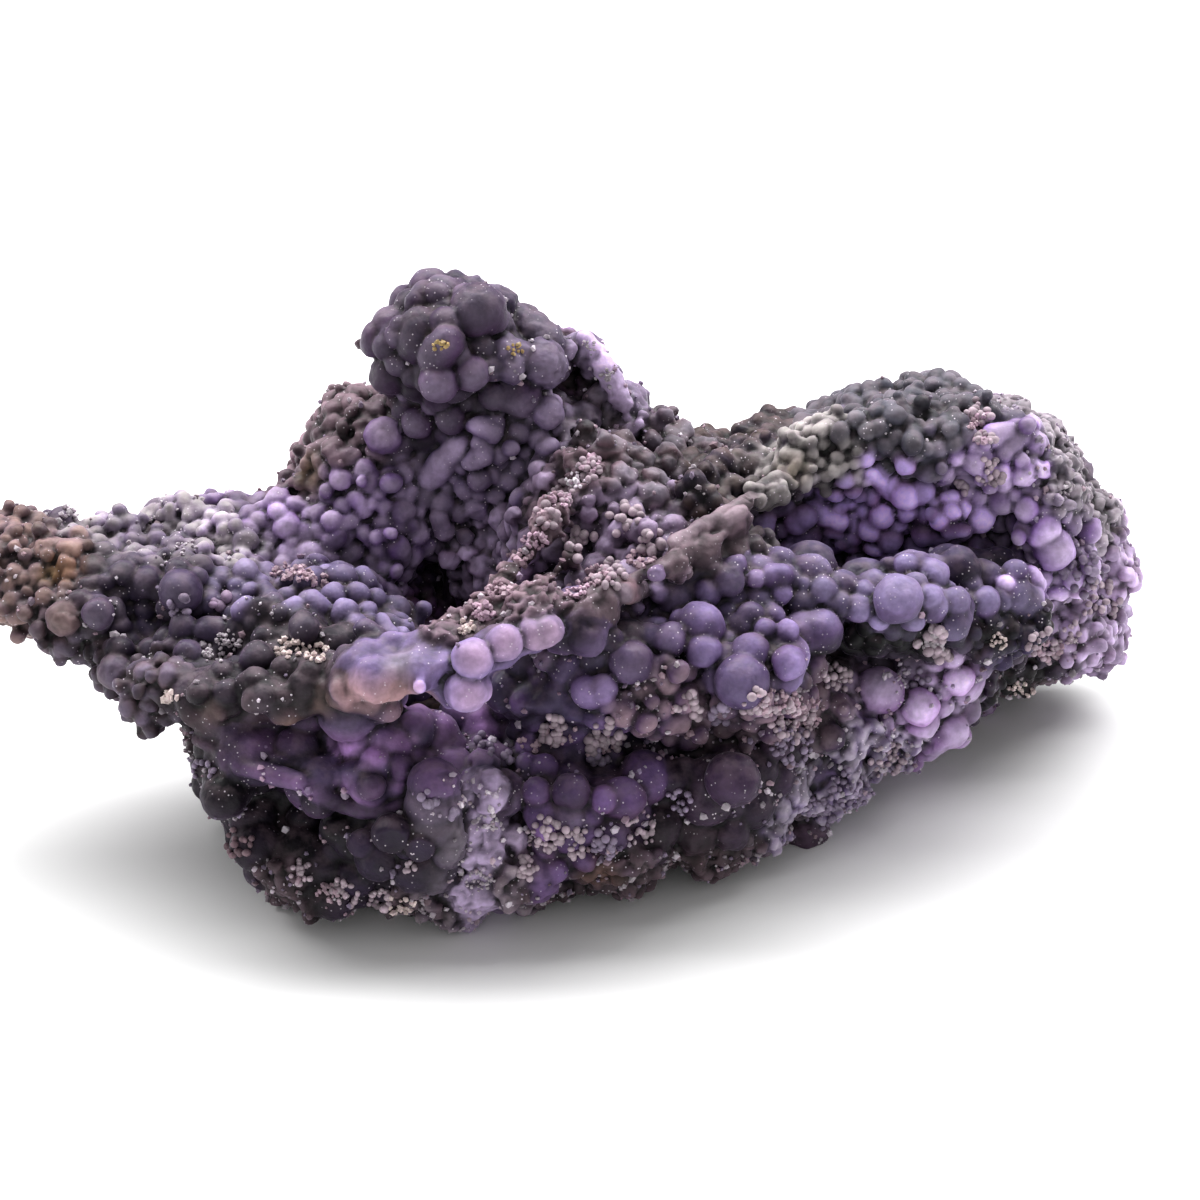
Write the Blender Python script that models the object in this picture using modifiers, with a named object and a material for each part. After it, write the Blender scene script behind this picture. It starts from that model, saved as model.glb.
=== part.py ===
"""Grape agate: one loose piece of botryoidal purple chalcedony, about 17 cm long.

The frame is in metres, +Z up. The stone's length runs along X, and -Y is its front.
"""

import math
import random

import bmesh
import bpy
import numpy as np
from mathutils import Euler, Matrix, Vector
from mathutils.bvhtree import BVHTree

MM = 0.001
NODE = "grape_agate"

# Where the photo was taken from, for the grapes that are placed by their position in it: the
# point that it centres on, how far above that the camera is seen to be, and its distance. A
# pixel is the size given at that distance.
LOOK_AT = Vector((0, 0, 30)) * MM
CAMERA_RISE = math.radians(30)
CAMERA_AWAY = 326.7 * MM
PHOTO_MIDDLE = 600
PIXEL = 0.14 * MM

# Solid masses of the stone: centre, half-sizes along X, Y and Z in millimetres, and
# turn about X, Y and Z in degrees.
LOBES = {
    "base_corner": ((-46.5, -8, 15), (10, 11, 14), (0, 0, 0)),
    "base_left": ((-34, -21, 12), (15, 16, 13), (0, 0, -15)),
    "base_front": ((-20, -24, 11), (16, 16, 13), (0, 0, 0)),
    "base_middle": ((-3, -20, 12), (16, 16, 12), (0, 0, 10)),
    "base_inner": ((12, -14, 13), (16, 16, 13), (0, 0, 25)),
    "base_right": ((26, -5, 14), (14, 15, 14), (0, 0, 35)),
    "base_ledge": ((42, 6, 18), (15, 15, 12), (0, 0, 35)),
    "base_end": ((53, 15, 19), (13, 14, 11), (0, 0, 35)),
    "right_end": ((63, 21, 18.5), (12, 13, 11), (0, 0, 20)),
    "right_tip": ((71.5, 24, 18), (7, 9, 10), (0, 0, 0)),
    "right_foot": ((50, 25, 9), (16, 13, 11), (0, 0, 30)),
    "base_back": ((4, 22, 14), (50, 19, 16), (0, 0, 6)),
    "back_left": ((-32, 28, 23), (16, 12, 13), (0, 0, 0)),
    "back_peak": ((-8, 29, 34), (13, 10, 14), (0, 0, 0)),
    "back_right": ((34, 34, 24), (19, 10, 13), (0, 0, -10)),
    "apron": ((-35, -28, 22), (18, 7, 6), (0, 0, 0)),
    "fin": ((-16, -34, 12), (3, 4, 12), (0, 8, 0)),
    "left_wing": ((-63, -4, 33.5), (26, 11, 5), (0, 8, -12)),
    "wing_tip": ((-82, 0, 35), (7, 5, 3), (0, 0, 0)),
    "wing_root": ((-44, -9, 29), (20, 15, 8), (0, 0, -20)),
    "wing_back": ((-52, 9, 33), (12, 7, 7), (0, 0, 0)),
    "shoulder": ((-33, 16, 41), (10, 9, 11), (0, 0, 0)),
    "left_slope": ((-33, 12, 31), (18, 11, 13), (0, 0, 0)),
    "peak_head": ((-21, 14, 62), (8, 8, 8), (0, 0, 0)),
    "peak_right": ((-12, 17, 56), (9, 7, 8), (0, 15, 0)),
    "peak_neck": ((-1, 19, 45), (8, 6, 9), (0, 0, 0)),
    "peak_body": ((-15, 17, 47), (13, 10, 15), (0, 0, 0)),
    "peak_foot": ((-15, 19, 30), (22, 14, 16), (0, 0, 0)),
    "buttress": ((0, 3, 39), (12, 11, 11), (0, 0, 0)),
    "buttress_right": ((13, 9, 38), (10, 9, 9), (0, 0, 0)),
    "stalk": ((13, -4, 47), (1.9, 1.9, 4), (0, 0, 0)),
    "saddle": ((18, 20, 35), (16, 10, 9), (0, 0, 0)),
    "centre": ((4, -15, 30), (19, 11, 10), (0, 0, 20)),
    "centre_right": ((19, -15, 30), (9, 9, 9), (0, 0, 0)),
    "behind_rim": ((12, -8, 40), (12, 8, 4.5), (0, 0, 20)),
    "arch_root": ((26, 15, 39), (10, 8, 5), (0, 0, 0)),
    "hump_left": ((33, 20, 35), (15, 13, 10), (0, 0, 0)),
    "hump_top": ((46, 21, 39), (18, 14, 12), (0, 0, 0)),
    "hump_face": ((48, 15, 40), (13, 8, 9), (0, 0, 0)),
    "hump_right": ((57, 23, 35), (12, 14, 12), (0, 0, 0)),
    "hump_end": ((65, 25, 29), (9, 12, 10), (0, 0, 0)),
}

# Long ridges and ledges: points along the middle, X, Y and Z, and the half-thickness there,
# in millimetres.
RIDGES = {
    "rim": (
        (-80, -2, 33.5, 2.2),
        (-71, -9, 31, 2.8),
        (-61, -18, 28, 3.2),
        (-50, -26, 29, 3.8),
        (-34, -30, 34, 4.2),
        (-22, -30, 38, 4.4),
        (-12, -28, 40.5, 4.2),
        (0, -23, 43.5, 3.0),
        (10, -17, 45.5, 2.4),
        (18, -10, 47.5, 2.4),
        (23, 2, 47, 3.0),
        (29, 7, 47, 3.6),
    ),
    "arch": (
        (20, 9, 44, 3.0),
        (29, 8, 47, 4.0),
        (36, 9, 49.5, 4.5),
        (44, 11, 50.5, 4.5),
        (53, 12, 49.5, 4.5),
        (60, 11, 45, 4.5),
        (63, 9, 39, 4.5),
        (65, 10, 31, 4.5),
        (66, 14, 24, 4.0),
    ),
    "spire": (
        (-3.2, 18, 62.3, 0.6),
        (-2.2, 18, 58.5, 2.2),
        (0.5, 18, 54, 3.0),
        (4, 17, 49, 3.2),
        (8.5, 16, 43, 3.4),
    ),
    "ledge": (
        (16, -12, 36, 3.0),
        (25, -10, 36, 4.0),
        (34, -9, 35, 4.5),
        (42, -8, 33, 5.5),
        (51, -4, 30, 5.5),
        (58, 1, 28, 5.5),
    ),
    "long_rib": (
        (1, -1, 51, 1.8),
        (-3.3, -5, 49.5, 2.2),
        (-6.4, -9, 48, 2.2),
        (-10.2, -15, 44.5, 2.0),
        (-13.6, -20, 42, 2.0),
        (-17.5, -26, 41, 2.0),
    ),
    "short_rib": (
        (-2, -10, 44.5, 1.6),
        (-7.3, -17, 42, 1.8),
        (-11, -24, 41.5, 1.8),
    ),
}

# How finely the masses and the ridges are made before they are joined.
LOBE_STEPS = 4
RIDGE_STEPS = 6
RIDGE_ROUND_STEPS = 3
RIDGE_ORDER = 3

# Hollows of the stone, as in LOBES.
PITS = {
    "pocket": ((-24, 1, 32), (7, 7, 10), (0, 0, 0)),
    "under_arch": ((32, 6, 33), (8, 7, 6), (0, 0, 0)),
    "under_ledge": ((31, -7, 28), (9, 8, 3.5), (0, 0, 15)),
    "beside_fin": ((-10, -37, 17), (3, 5, 7), (0, 0, 0)),
    "under_rim": ((-9, -36, 29), (14, 6, 4.5), (0, -5, 20)),
    "under_apron": ((-40, -35, 15), (9, 5, 3.5), (0, 0, 0)),
    "spire_hollow": ((-5, 12, 56), (4, 5, 3.5), (0, 0, 0)),
    "buttress_gap": ((12, 1, 45), (2.5, 6, 6), (0, 0, 0)),
}

# The grapes that stand out, by zone: X and Y in the photo, in pixels, and radius in millimetres.
STANDOUTS = {
    "peak": (
        (451, 419, 2.2), (495, 395, 2.2), (438, 383, 2.8), (471, 373, 2.7), (483, 348, 2.0),
        (438, 295, 2.0), (413, 308, 2.8), (478, 310, 3.9), (446, 325, 2.5), (524, 325, 3.1),
        (511, 368, 2.1), (542, 363, 3.5), (548, 413, 2.4), (584, 419, 2.5), (381, 436, 2.2),
        (418, 423, 2.2), (426, 495, 2.0), (439, 461, 3.2),
    ),
    "wing": (
        (181, 591, 3.1), (187, 566, 2.0), (171, 609, 2.1), (93, 586, 2.0), (98, 614, 2.2),
        (65, 617, 2.5), (58, 551, 3.0), (103, 556, 2.1), (244, 541, 2.0), (116, 671, 2.5),
    ),
    "slope": (
        (270, 541, 1.9), (311, 557, 2.6), (288, 527, 2.1), (384, 435, 2.5), (420, 579, 2.0),
        (396, 610, 2.1),
    ),
    "rim": (
        (504, 641, 2.4), (539, 631, 2.6), (466, 691, 2.9), (473, 659, 2.9), (345, 638, 2.2),
        (304, 629, 2.4), (337, 644, 2.7), (258, 657, 2.2), (546, 656, 2.1),
    ),
    "centre": (
        (650, 638, 2.2), (669, 639, 2.5), (598, 656, 2.8), (603, 689, 2.2), (588, 692, 2.4),
        (631, 662, 3.2), (750, 653, 2.9), (789, 662, 2.5), (751, 616, 2.1), (726, 614, 1.9),
        (708, 593, 2.1), (742, 682, 3.9), (703, 651, 2.5),
    ),
    "under_arch": (
        (918, 546, 2.1), (979, 516, 2.2), (831, 533, 3.2), (906, 496, 2.1), (922, 491, 2.1),
        (1054, 549, 2.9),
    ),
    "ledge": (
        (859, 609, 2.1), (898, 599, 3.5), (929, 597, 2.0), (954, 602, 2.2), (985, 602, 2.2),
        (931, 576, 2.5), (881, 566, 2.1), (823, 589, 2.1),
    ),
    "base": (
        (304, 820, 2.5), (362, 843, 2.1), (392, 833, 2.8), (372, 787, 2.0), (400, 767, 2.0),
        (572, 792, 2.8), (537, 792, 2.1), (733, 780, 3.9), (774, 741, 2.8), (730, 830, 2.8),
        (555, 869, 2.0), (807, 828, 3.2), (514, 838, 2.1), (880, 691, 3.4), (920, 707, 2.7),
        (958, 679, 2.4), (955, 736, 2.7),
    ),
}
# How far the middle of one stands clear of the stone, as a share of its radius, and how far before
# and behind the point looked at the stone is searched for where the photo's line passes beside it.
STANDOUT_RISE = 0.35
SEARCH_REACH = 60

# Grids of the joined stone, how uneven it is, and how far its creases are eased.
CORE_GRID = 1.2 * MM
STONE_GRID = 0.8 * MM
UNEVEN = 3.0 * MM
UNEVEN_SPAN = 11 * MM
UNEVEN_DETAIL = 1
UNEVEN_LEVEL = 0.5
EASE_STEPS = 3

# Random lumps that cover the rest: least and most radius, the share of it by which the middle
# stands clear of the stone, how near two middles may be, as a share of both radii together, and
# the height under which the stone's underside has none.
COVER_SEED = 4
COVER_TRIES = 5000
COVER_RADII = (1.9 * MM, 3.2 * MM)
COVER_RISE = 0.1
COVER_SPACING = 1.0
UNDERSIDE = 5 * MM
SMOOTH_RIDGES = ("rim", "spire")
SMOOTH_REACH = 1.6

GRAPE_STEPS = 3
TRIANGLES = 9500
GROUND_BLOCK = 300 * MM
SHARP_ANGLE = math.radians(50)

PURPLE = (0.155, 0.105, 0.215, 1.0)
ROUGHNESS = 0.45


def clear_scene():
    for old in list(bpy.data.objects):
        bpy.data.objects.remove(old)


def new_collection(name):
    made = bpy.data.collections.new(name)
    bpy.context.scene.collection.children.link(made)
    return made


def new_object(name, mesh, collection):
    made = bpy.data.objects.new(name, mesh)
    collection.objects.link(made)
    return made


def add_lobe(build, centre, half_sizes, turn):
    """Adds a solid ellipsoid to the bmesh being built."""
    angles = Euler([math.radians(angle) for angle in turn])
    place = Matrix.LocRotScale(Vector(centre) * MM, angles, Vector(half_sizes) * MM)
    bmesh.ops.create_icosphere(build, subdivisions=LOBE_STEPS, radius=1, matrix=place)


def grapes_mesh(name, grapes):
    """One mesh of spheres, from the centre and the radius of each."""
    build = bmesh.new()
    bmesh.ops.create_icosphere(build, subdivisions=GRAPE_STEPS, radius=1)
    points = np.array([point.co for point in build.verts])
    faces = np.array([[point.index for point in face.verts] for face in build.faces])
    build.free()
    centres = np.array([centre for centre, radius in grapes])
    radii = np.array([radius for centre, radius in grapes])
    all_points = points * radii[:, None, None] + centres[:, None]
    all_faces = faces + len(points) * np.arange(len(grapes))[:, None, None]
    mesh = bpy.data.meshes.new(name)
    mesh.from_pydata(all_points.reshape(-1, 3), [], all_faces.reshape(-1, 3))
    return mesh


def ridge_mesh(name, points):
    """A closed tube along the points, as thick as each says."""
    curve = bpy.data.curves.new(name, "CURVE")
    curve.dimensions = "3D"
    curve.resolution_u = RIDGE_STEPS
    curve.bevel_depth = MM
    curve.bevel_resolution = RIDGE_ROUND_STEPS
    curve.use_fill_caps = True
    line = curve.splines.new("NURBS")
    line.points.add(len(points) - 1)
    for point, (x, y, z, half) in zip(line.points, points):
        point.co = (x * MM, y * MM, z * MM, 1)
        point.radius = half
    line.use_endpoint_u = True
    line.order_u = RIDGE_ORDER
    guide = bpy.data.objects.new(name, curve)
    bpy.context.scene.collection.objects.link(guide)
    mesh = evaluated_mesh(guide)
    bpy.data.objects.remove(guide)
    return mesh


def evaluated_mesh(thing):
    bpy.context.view_layer.update()
    graph = bpy.context.evaluated_depsgraph_get()
    return bpy.data.meshes.new_from_object(thing.evaluated_get(graph))


def remeshed(name, build, grid, collection):
    """Joins the closed shapes of the bmesh in one surface on a grid of the given size."""
    mesh = bpy.data.meshes.new(name)
    build.to_mesh(mesh)
    build.free()
    made = new_object(name, mesh, collection)
    join = made.modifiers.new("Join", "REMESH")
    join.mode = "VOXEL"
    join.voxel_size = grid
    return made


def lobes_build(lobes):
    build = bmesh.new()
    for centre, half_sizes, turn in lobes.values():
        add_lobe(build, centre, half_sizes, turn)
    return build


def cut(thing, name, cutter, collection):
    """Takes the cutter's shape out of the thing."""
    collection.objects.link(cutter)
    cutter.hide_render = True
    cutter.display_type = "WIRE"
    difference = thing.modifiers.new(name, "BOOLEAN")
    difference.operation = "DIFFERENCE"
    difference.solver = "EXACT"
    difference.use_self = True
    difference.object = cutter


def core_mesh(collection, cutters):
    """The stone without its grapes."""
    build = lobes_build(LOBES)
    for name, points in RIDGES.items():
        mesh = ridge_mesh(name, points)
        build.from_mesh(mesh)
        bpy.data.meshes.remove(mesh)
    core = remeshed("core", build, CORE_GRID, collection)
    pits = bpy.data.meshes.new("pits")
    lobes_build(PITS).to_mesh(pits)
    cut(core, "Pits", bpy.data.objects.new("pits", pits), cutters)
    again = core.modifiers.new("Even grid", "REMESH")
    again.mode = "VOXEL"
    again.voxel_size = CORE_GRID
    clouds = bpy.data.textures.new("Uneven", "CLOUDS")
    clouds.noise_scale = UNEVEN_SPAN
    clouds.noise_depth = UNEVEN_DETAIL
    uneven = core.modifiers.new("Uneven", "DISPLACE")
    uneven.texture = clouds
    uneven.strength = UNEVEN
    uneven.mid_level = UNEVEN_LEVEL
    ease = core.modifiers.new("Ease", "SMOOTH")
    ease.iterations = EASE_STEPS
    mesh = evaluated_mesh(core)
    bpy.data.objects.remove(core)
    return mesh


def sight_line(photo_x, photo_y):
    """The camera's place and the direction in which it sees this point of the photo."""
    back = Vector((0, -math.cos(CAMERA_RISE), math.sin(CAMERA_RISE)))
    up = Vector((0, math.sin(CAMERA_RISE), math.cos(CAMERA_RISE)))
    right = (photo_x - PHOTO_MIDDLE) * PIXEL
    rise = (PHOTO_MIDDLE - photo_y) * PIXEL
    sight = Vector((right, 0, 0)) + up * rise - back * CAMERA_AWAY
    return LOOK_AT + back * CAMERA_AWAY, sight.normalized()


def seen_point(tree, photo_x, photo_y):
    """The point of the stone that the photo shows there, or the nearest one beside the line."""
    camera, sight = sight_line(photo_x, photo_y)
    hit = tree.ray_cast(camera, sight)[0]
    if hit:
        return hit
    reach = range(-SEARCH_REACH, SEARCH_REACH + 1)
    steps = [camera + sight * (CAMERA_AWAY + step * MM) for step in reach]
    return min(steps, key=lambda point: tree.find_nearest(point)[3])


def standout_grapes(tree):
    """Centre and radius of every grape that is placed by the photo."""
    grapes = []
    for zone in STANDOUTS.values():
        for photo_x, photo_y, size in zone:
            radius = size * MM
            sight = sight_line(photo_x, photo_y)[1]
            centre = seen_point(tree, photo_x, photo_y) - sight * radius * STANDOUT_RISE
            grapes.append((centre, radius))
    return grapes


def on_smooth_ridge(point):
    """Whether the point is on a ridge that has only the lumps that are placed."""
    return any(
        (point - Vector((x, y, z)) * MM).length < half * MM * SMOOTH_REACH
        for ridge in SMOOTH_RIDGES
        for x, y, z, half in RIDGES[ridge]
    )


def cover_grapes(mesh, placed):
    """Random lumps all over the stone, apart from each other and from those placed."""
    chance = random.Random(COVER_SEED)
    faces = list(mesh.polygons)
    chosen = chance.choices(faces, [face.area for face in faces], k=COVER_TRIES)
    centres = np.array([centre for centre, radius in placed])
    radii = np.array([radius for centre, radius in placed])
    cover = []
    for face in chosen:
        radius = chance.uniform(*COVER_RADII)
        centre = face.center + face.normal * radius * COVER_RISE
        if centre.z < UNDERSIDE and face.normal.z < 0 or on_smooth_ridge(centre):
            continue
        gaps = np.linalg.norm(centres - np.array(centre), axis=1)
        if (gaps > (radii + radius) * COVER_SPACING).all():
            centres = np.vstack([centres, centre])
            radii = np.append(radii, radius)
            cover.append((centre, radius))
    return cover


def keep_largest_body(mesh):
    """Drops everything but the largest joined body of the mesh."""
    build = bmesh.new()
    build.from_mesh(mesh)
    left = set(build.faces)
    bodies = []
    while left:
        front = {left.pop()}
        body = set(front)
        while front:
            edges = {edge for face in front for edge in face.edges if edge.is_manifold}
            front = {face for edge in edges for face in edge.link_faces} & left
            left -= front
            body |= front
        bodies.append(body)
    bodies.sort(key=len)
    loose = [face for body in bodies[:-1] for face in body]
    bmesh.ops.delete(build, geom=loose, context="FACES")
    build.to_mesh(mesh)
    build.free()


def centre_on_origin(mesh):
    """Moves the mesh so that its box stands on the origin, centred along X and Y."""
    points = np.array([point.co for point in mesh.vertices])
    middle = (points.min(axis=0) + points.max(axis=0)) / 2
    mesh.transform(Matrix.Translation((-middle[0], -middle[1], 0)))


def below_ground():
    """A block whose top is the ground, for cutting the flat feet."""
    bpy.ops.mesh.primitive_cube_add(size=GROUND_BLOCK, location=(0, 0, -GROUND_BLOCK / 2))
    block = bpy.context.object
    block.name = "below_ground"
    for holder in block.users_collection:
        holder.objects.unlink(block)
    return block


def agate_material():
    material = bpy.data.materials.new("Purple chalcedony")
    material.use_nodes = True
    shader = material.node_tree.nodes["Principled BSDF"]
    shader.inputs["Base Color"].default_value = PURPLE
    shader.inputs["Roughness"].default_value = ROUGHNESS
    return material


def main():
    clear_scene()
    collection = new_collection("Grape agate")
    cutters = new_collection("Cutters")
    core = core_mesh(collection, cutters)
    build = bmesh.new()
    build.from_mesh(core)
    tree = BVHTree.FromBMesh(build)
    placed = standout_grapes(tree)
    grapes = placed + cover_grapes(core, placed)
    build.from_mesh(grapes_mesh("grapes", grapes))
    rough = remeshed("rough", build, STONE_GRID, collection)
    fewer = rough.modifiers.new("Fewer faces", "DECIMATE")
    triangles = sum(len(face.vertices) - 2 for face in evaluated_mesh(rough).polygons)
    fewer.ratio = TRIANGLES / triangles
    cut(rough, "Flat feet", below_ground(), cutters)
    mesh = evaluated_mesh(rough)
    bpy.data.objects.remove(rough)
    keep_largest_body(mesh)
    centre_on_origin(mesh)
    mesh.materials.clear()
    mesh.materials.append(agate_material())
    mesh.shade_smooth()
    mesh.set_sharp_from_angle(angle=SHARP_ANGLE)
    new_object(NODE, mesh, collection)


if __name__ == "__main__":
    main()
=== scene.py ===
"""The looks of the grape agate: its stone, grapes, crusts and crystals, with light and camera.

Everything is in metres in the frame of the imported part. Sizes that are given in pixels are those
of the photo, which is 1200 pixels wide and high, as the camera below sees it.
"""

import math
import random

import bmesh
import bpy
import numpy as np
from mathutils import Euler, Matrix, Vector, noise
from mathutils.bvhtree import BVHTree
from mathutils.kdtree import KDTree

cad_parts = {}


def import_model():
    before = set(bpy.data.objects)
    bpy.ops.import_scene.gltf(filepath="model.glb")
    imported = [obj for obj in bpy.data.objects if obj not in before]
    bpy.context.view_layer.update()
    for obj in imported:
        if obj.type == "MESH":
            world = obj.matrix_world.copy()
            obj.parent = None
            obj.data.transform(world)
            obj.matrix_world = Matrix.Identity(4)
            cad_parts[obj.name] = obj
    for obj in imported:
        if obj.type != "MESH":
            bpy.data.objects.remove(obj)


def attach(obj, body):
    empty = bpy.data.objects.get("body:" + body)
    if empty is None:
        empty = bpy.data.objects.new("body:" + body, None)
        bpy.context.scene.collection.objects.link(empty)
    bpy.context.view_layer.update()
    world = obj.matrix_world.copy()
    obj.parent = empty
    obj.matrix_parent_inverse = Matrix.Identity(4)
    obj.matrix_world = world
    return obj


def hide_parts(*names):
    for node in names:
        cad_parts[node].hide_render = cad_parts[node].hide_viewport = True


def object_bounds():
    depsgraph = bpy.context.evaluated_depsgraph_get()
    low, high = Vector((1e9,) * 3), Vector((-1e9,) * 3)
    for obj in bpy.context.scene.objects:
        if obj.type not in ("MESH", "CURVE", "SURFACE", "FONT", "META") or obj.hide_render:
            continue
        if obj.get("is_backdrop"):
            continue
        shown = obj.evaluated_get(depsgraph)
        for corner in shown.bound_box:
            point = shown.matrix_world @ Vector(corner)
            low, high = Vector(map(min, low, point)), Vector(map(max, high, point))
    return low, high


MM = 0.001
NODE = "grape_agate"
BODY = "root"

# The masses below are given about the point that the photo centres on. This moves them to where
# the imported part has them.
TO_PART = Vector((3.712, -2.362, 0)) * MM

# The camera of the photo.
LOOK_AT = Vector((0, 0, 30)) * MM
CAMERA_RISE = math.radians(30)
CAMERA_AWAY = 326.7 * MM
CAMERA_LENS = 70
CAMERA_SENSOR = 36
PHOTO_MIDDLE = 600
PIXEL = 0.14 * MM
SEARCH_REACH = 60

# Solid masses of the stone: centre, half-sizes along X, Y and Z in millimetres, and
# turn about X, Y and Z in degrees.
LOBES = {
    "base_corner": ((-46.5, -8, 15), (10, 11, 14), (0, 0, 0)),
    "base_left": ((-34, -21, 12), (15, 16, 13), (0, 0, -15)),
    "base_front": ((-20, -24, 11), (16, 16, 13), (0, 0, 0)),
    "base_middle": ((-3, -20, 12), (16, 16, 12), (0, 0, 10)),
    "base_inner": ((12, -14, 13), (16, 16, 13), (0, 0, 25)),
    "base_right": ((26, -5, 14), (14, 15, 14), (0, 0, 35)),
    "base_ledge": ((42, 6, 18), (15, 15, 12), (0, 0, 35)),
    "base_end": ((53, 15, 19), (13, 14, 11), (0, 0, 35)),
    "right_end": ((63, 21, 18.5), (12, 13, 11), (0, 0, 20)),
    "right_tip": ((71.5, 24, 18), (7, 9, 10), (0, 0, 0)),
    "right_foot": ((50, 25, 9), (16, 13, 11), (0, 0, 30)),
    "base_back": ((4, 22, 14), (50, 19, 16), (0, 0, 6)),
    "back_left": ((-32, 28, 23), (16, 12, 13), (0, 0, 0)),
    "back_peak": ((-8, 29, 34), (13, 10, 14), (0, 0, 0)),
    "back_right": ((34, 34, 24), (19, 10, 13), (0, 0, -10)),
    "apron": ((-35, -28, 22), (18, 7, 6), (0, 0, 0)),
    "fin": ((-16, -34, 12), (3, 4, 12), (0, 8, 0)),
    "left_wing": ((-63, -4, 33.5), (26, 11, 5), (0, 8, -12)),
    "wing_tip": ((-82, 0, 35), (7, 5, 3), (0, 0, 0)),
    "wing_root": ((-44, -9, 29), (20, 15, 8), (0, 0, -20)),
    "wing_back": ((-52, 9, 33), (12, 7, 7), (0, 0, 0)),
    "shoulder": ((-33, 16, 41), (10, 9, 11), (0, 0, 0)),
    "left_slope": ((-33, 12, 31), (18, 11, 13), (0, 0, 0)),
    "peak_head": ((-21, 14, 62), (8, 8, 8), (0, 0, 0)),
    "peak_right": ((-12, 17, 56), (9, 7, 8), (0, 15, 0)),
    "peak_neck": ((-1, 19, 45), (8, 6, 9), (0, 0, 0)),
    "peak_body": ((-15, 17, 47), (13, 10, 15), (0, 0, 0)),
    "peak_foot": ((-15, 19, 30), (22, 14, 16), (0, 0, 0)),
    "buttress": ((0, 3, 39), (12, 11, 11), (0, 0, 0)),
    "buttress_right": ((13, 9, 38), (10, 9, 9), (0, 0, 0)),
    "stalk": ((13, -4, 47), (1.9, 1.9, 4), (0, 0, 0)),
    "saddle": ((18, 20, 35), (16, 10, 9), (0, 0, 0)),
    "centre": ((4, -15, 30), (19, 11, 10), (0, 0, 20)),
    "centre_right": ((19, -15, 30), (9, 9, 9), (0, 0, 0)),
    "behind_rim": ((12, -8, 40), (12, 8, 4.5), (0, 0, 20)),
    "arch_root": ((26, 15, 39), (10, 8, 5), (0, 0, 0)),
    "hump_left": ((33, 20, 35), (15, 13, 10), (0, 0, 0)),
    "hump_top": ((46, 21, 39), (18, 14, 12), (0, 0, 0)),
    "hump_face": ((48, 15, 40), (13, 8, 9), (0, 0, 0)),
    "hump_right": ((57, 23, 35), (12, 14, 12), (0, 0, 0)),
    "hump_end": ((65, 25, 29), (9, 12, 10), (0, 0, 0)),
}

# Long ridges and ledges: points along the middle, X, Y and Z, and the half-thickness there,
# in millimetres.
RIDGES = {
    "rim": (
        (-80, -2, 33.5, 2.2),
        (-71, -9, 31, 2.8),
        (-61, -18, 28, 3.2),
        (-50, -26, 29, 3.8),
        (-34, -30, 34, 4.2),
        (-22, -30, 38, 4.4),
        (-12, -28, 40.5, 4.2),
        (0, -23, 43.5, 2.2),
        (10, -17, 45.5, 1.3),
        (18, -10, 47.5, 1.2),
        (23, 2, 47, 2.0),
        (29, 7, 47, 3.0),
    ),
    "arch": (
        (20, 9, 44, 3.0),
        (29, 8, 47, 4.0),
        (36, 9, 49.5, 4.5),
        (44, 11, 50.5, 4.5),
        (53, 12, 49.5, 4.5),
        (60, 11, 45, 4.5),
        (63, 9, 39, 4.5),
        (65, 10, 31, 4.5),
        (66, 14, 24, 4.0),
    ),
    "spire": (
        (-3.2, 18, 62.3, 0.6),
        (-2.2, 18, 58.5, 2.2),
        (0.5, 18, 54, 3.0),
        (4, 17, 49, 3.2),
        (8.5, 16, 43, 3.4),
    ),
    "ledge": (
        (16, -12, 36, 3.0),
        (25, -10, 36, 4.0),
        (34, -9, 35, 4.5),
        (42, -8, 33, 5.5),
        (51, -4, 30, 5.5),
        (58, 1, 28, 5.5),
    ),
    "long_rib": (
        (1, -1, 51, 1.2),
        (-3.3, -5, 49.5, 1.4),
        (-6.4, -9, 48, 1.4),
        (-10.2, -15, 44.5, 1.3),
        (-13.6, -20, 42, 1.3),
        (-17.5, -26, 41, 1.3),
    ),
    "short_rib": (
        (-2, -10, 44.5, 1.2),
        (-7.3, -17, 42, 1.3),
        (-11, -24, 41.5, 1.3),
    ),
}

# Hollows of the stone, as in LOBES.
PITS = {
    "pocket": ((-24, 1, 32), (7, 7, 10), (0, 0, 0)),
    "under_arch": ((32, 6, 33), (8, 7, 6), (0, 0, 0)),
    "under_ledge": ((31, -7, 28), (9, 8, 3.5), (0, 0, 15)),
    "beside_fin": ((-10, -37, 17), (3, 5, 7), (0, 0, 0)),
    "under_rim": ((-9, -36, 29), (14, 6, 4.5), (0, -5, 20)),
    "under_apron": ((-40, -35, 15), (9, 5, 3.5), (0, 0, 0)),
    "spire_hollow": ((-5, 12, 56), (4, 5, 3.5), (0, 0, 0)),
    "buttress_gap": ((12, 1, 45), (2.5, 6, 6), (0, 0, 0)),
}


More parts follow.
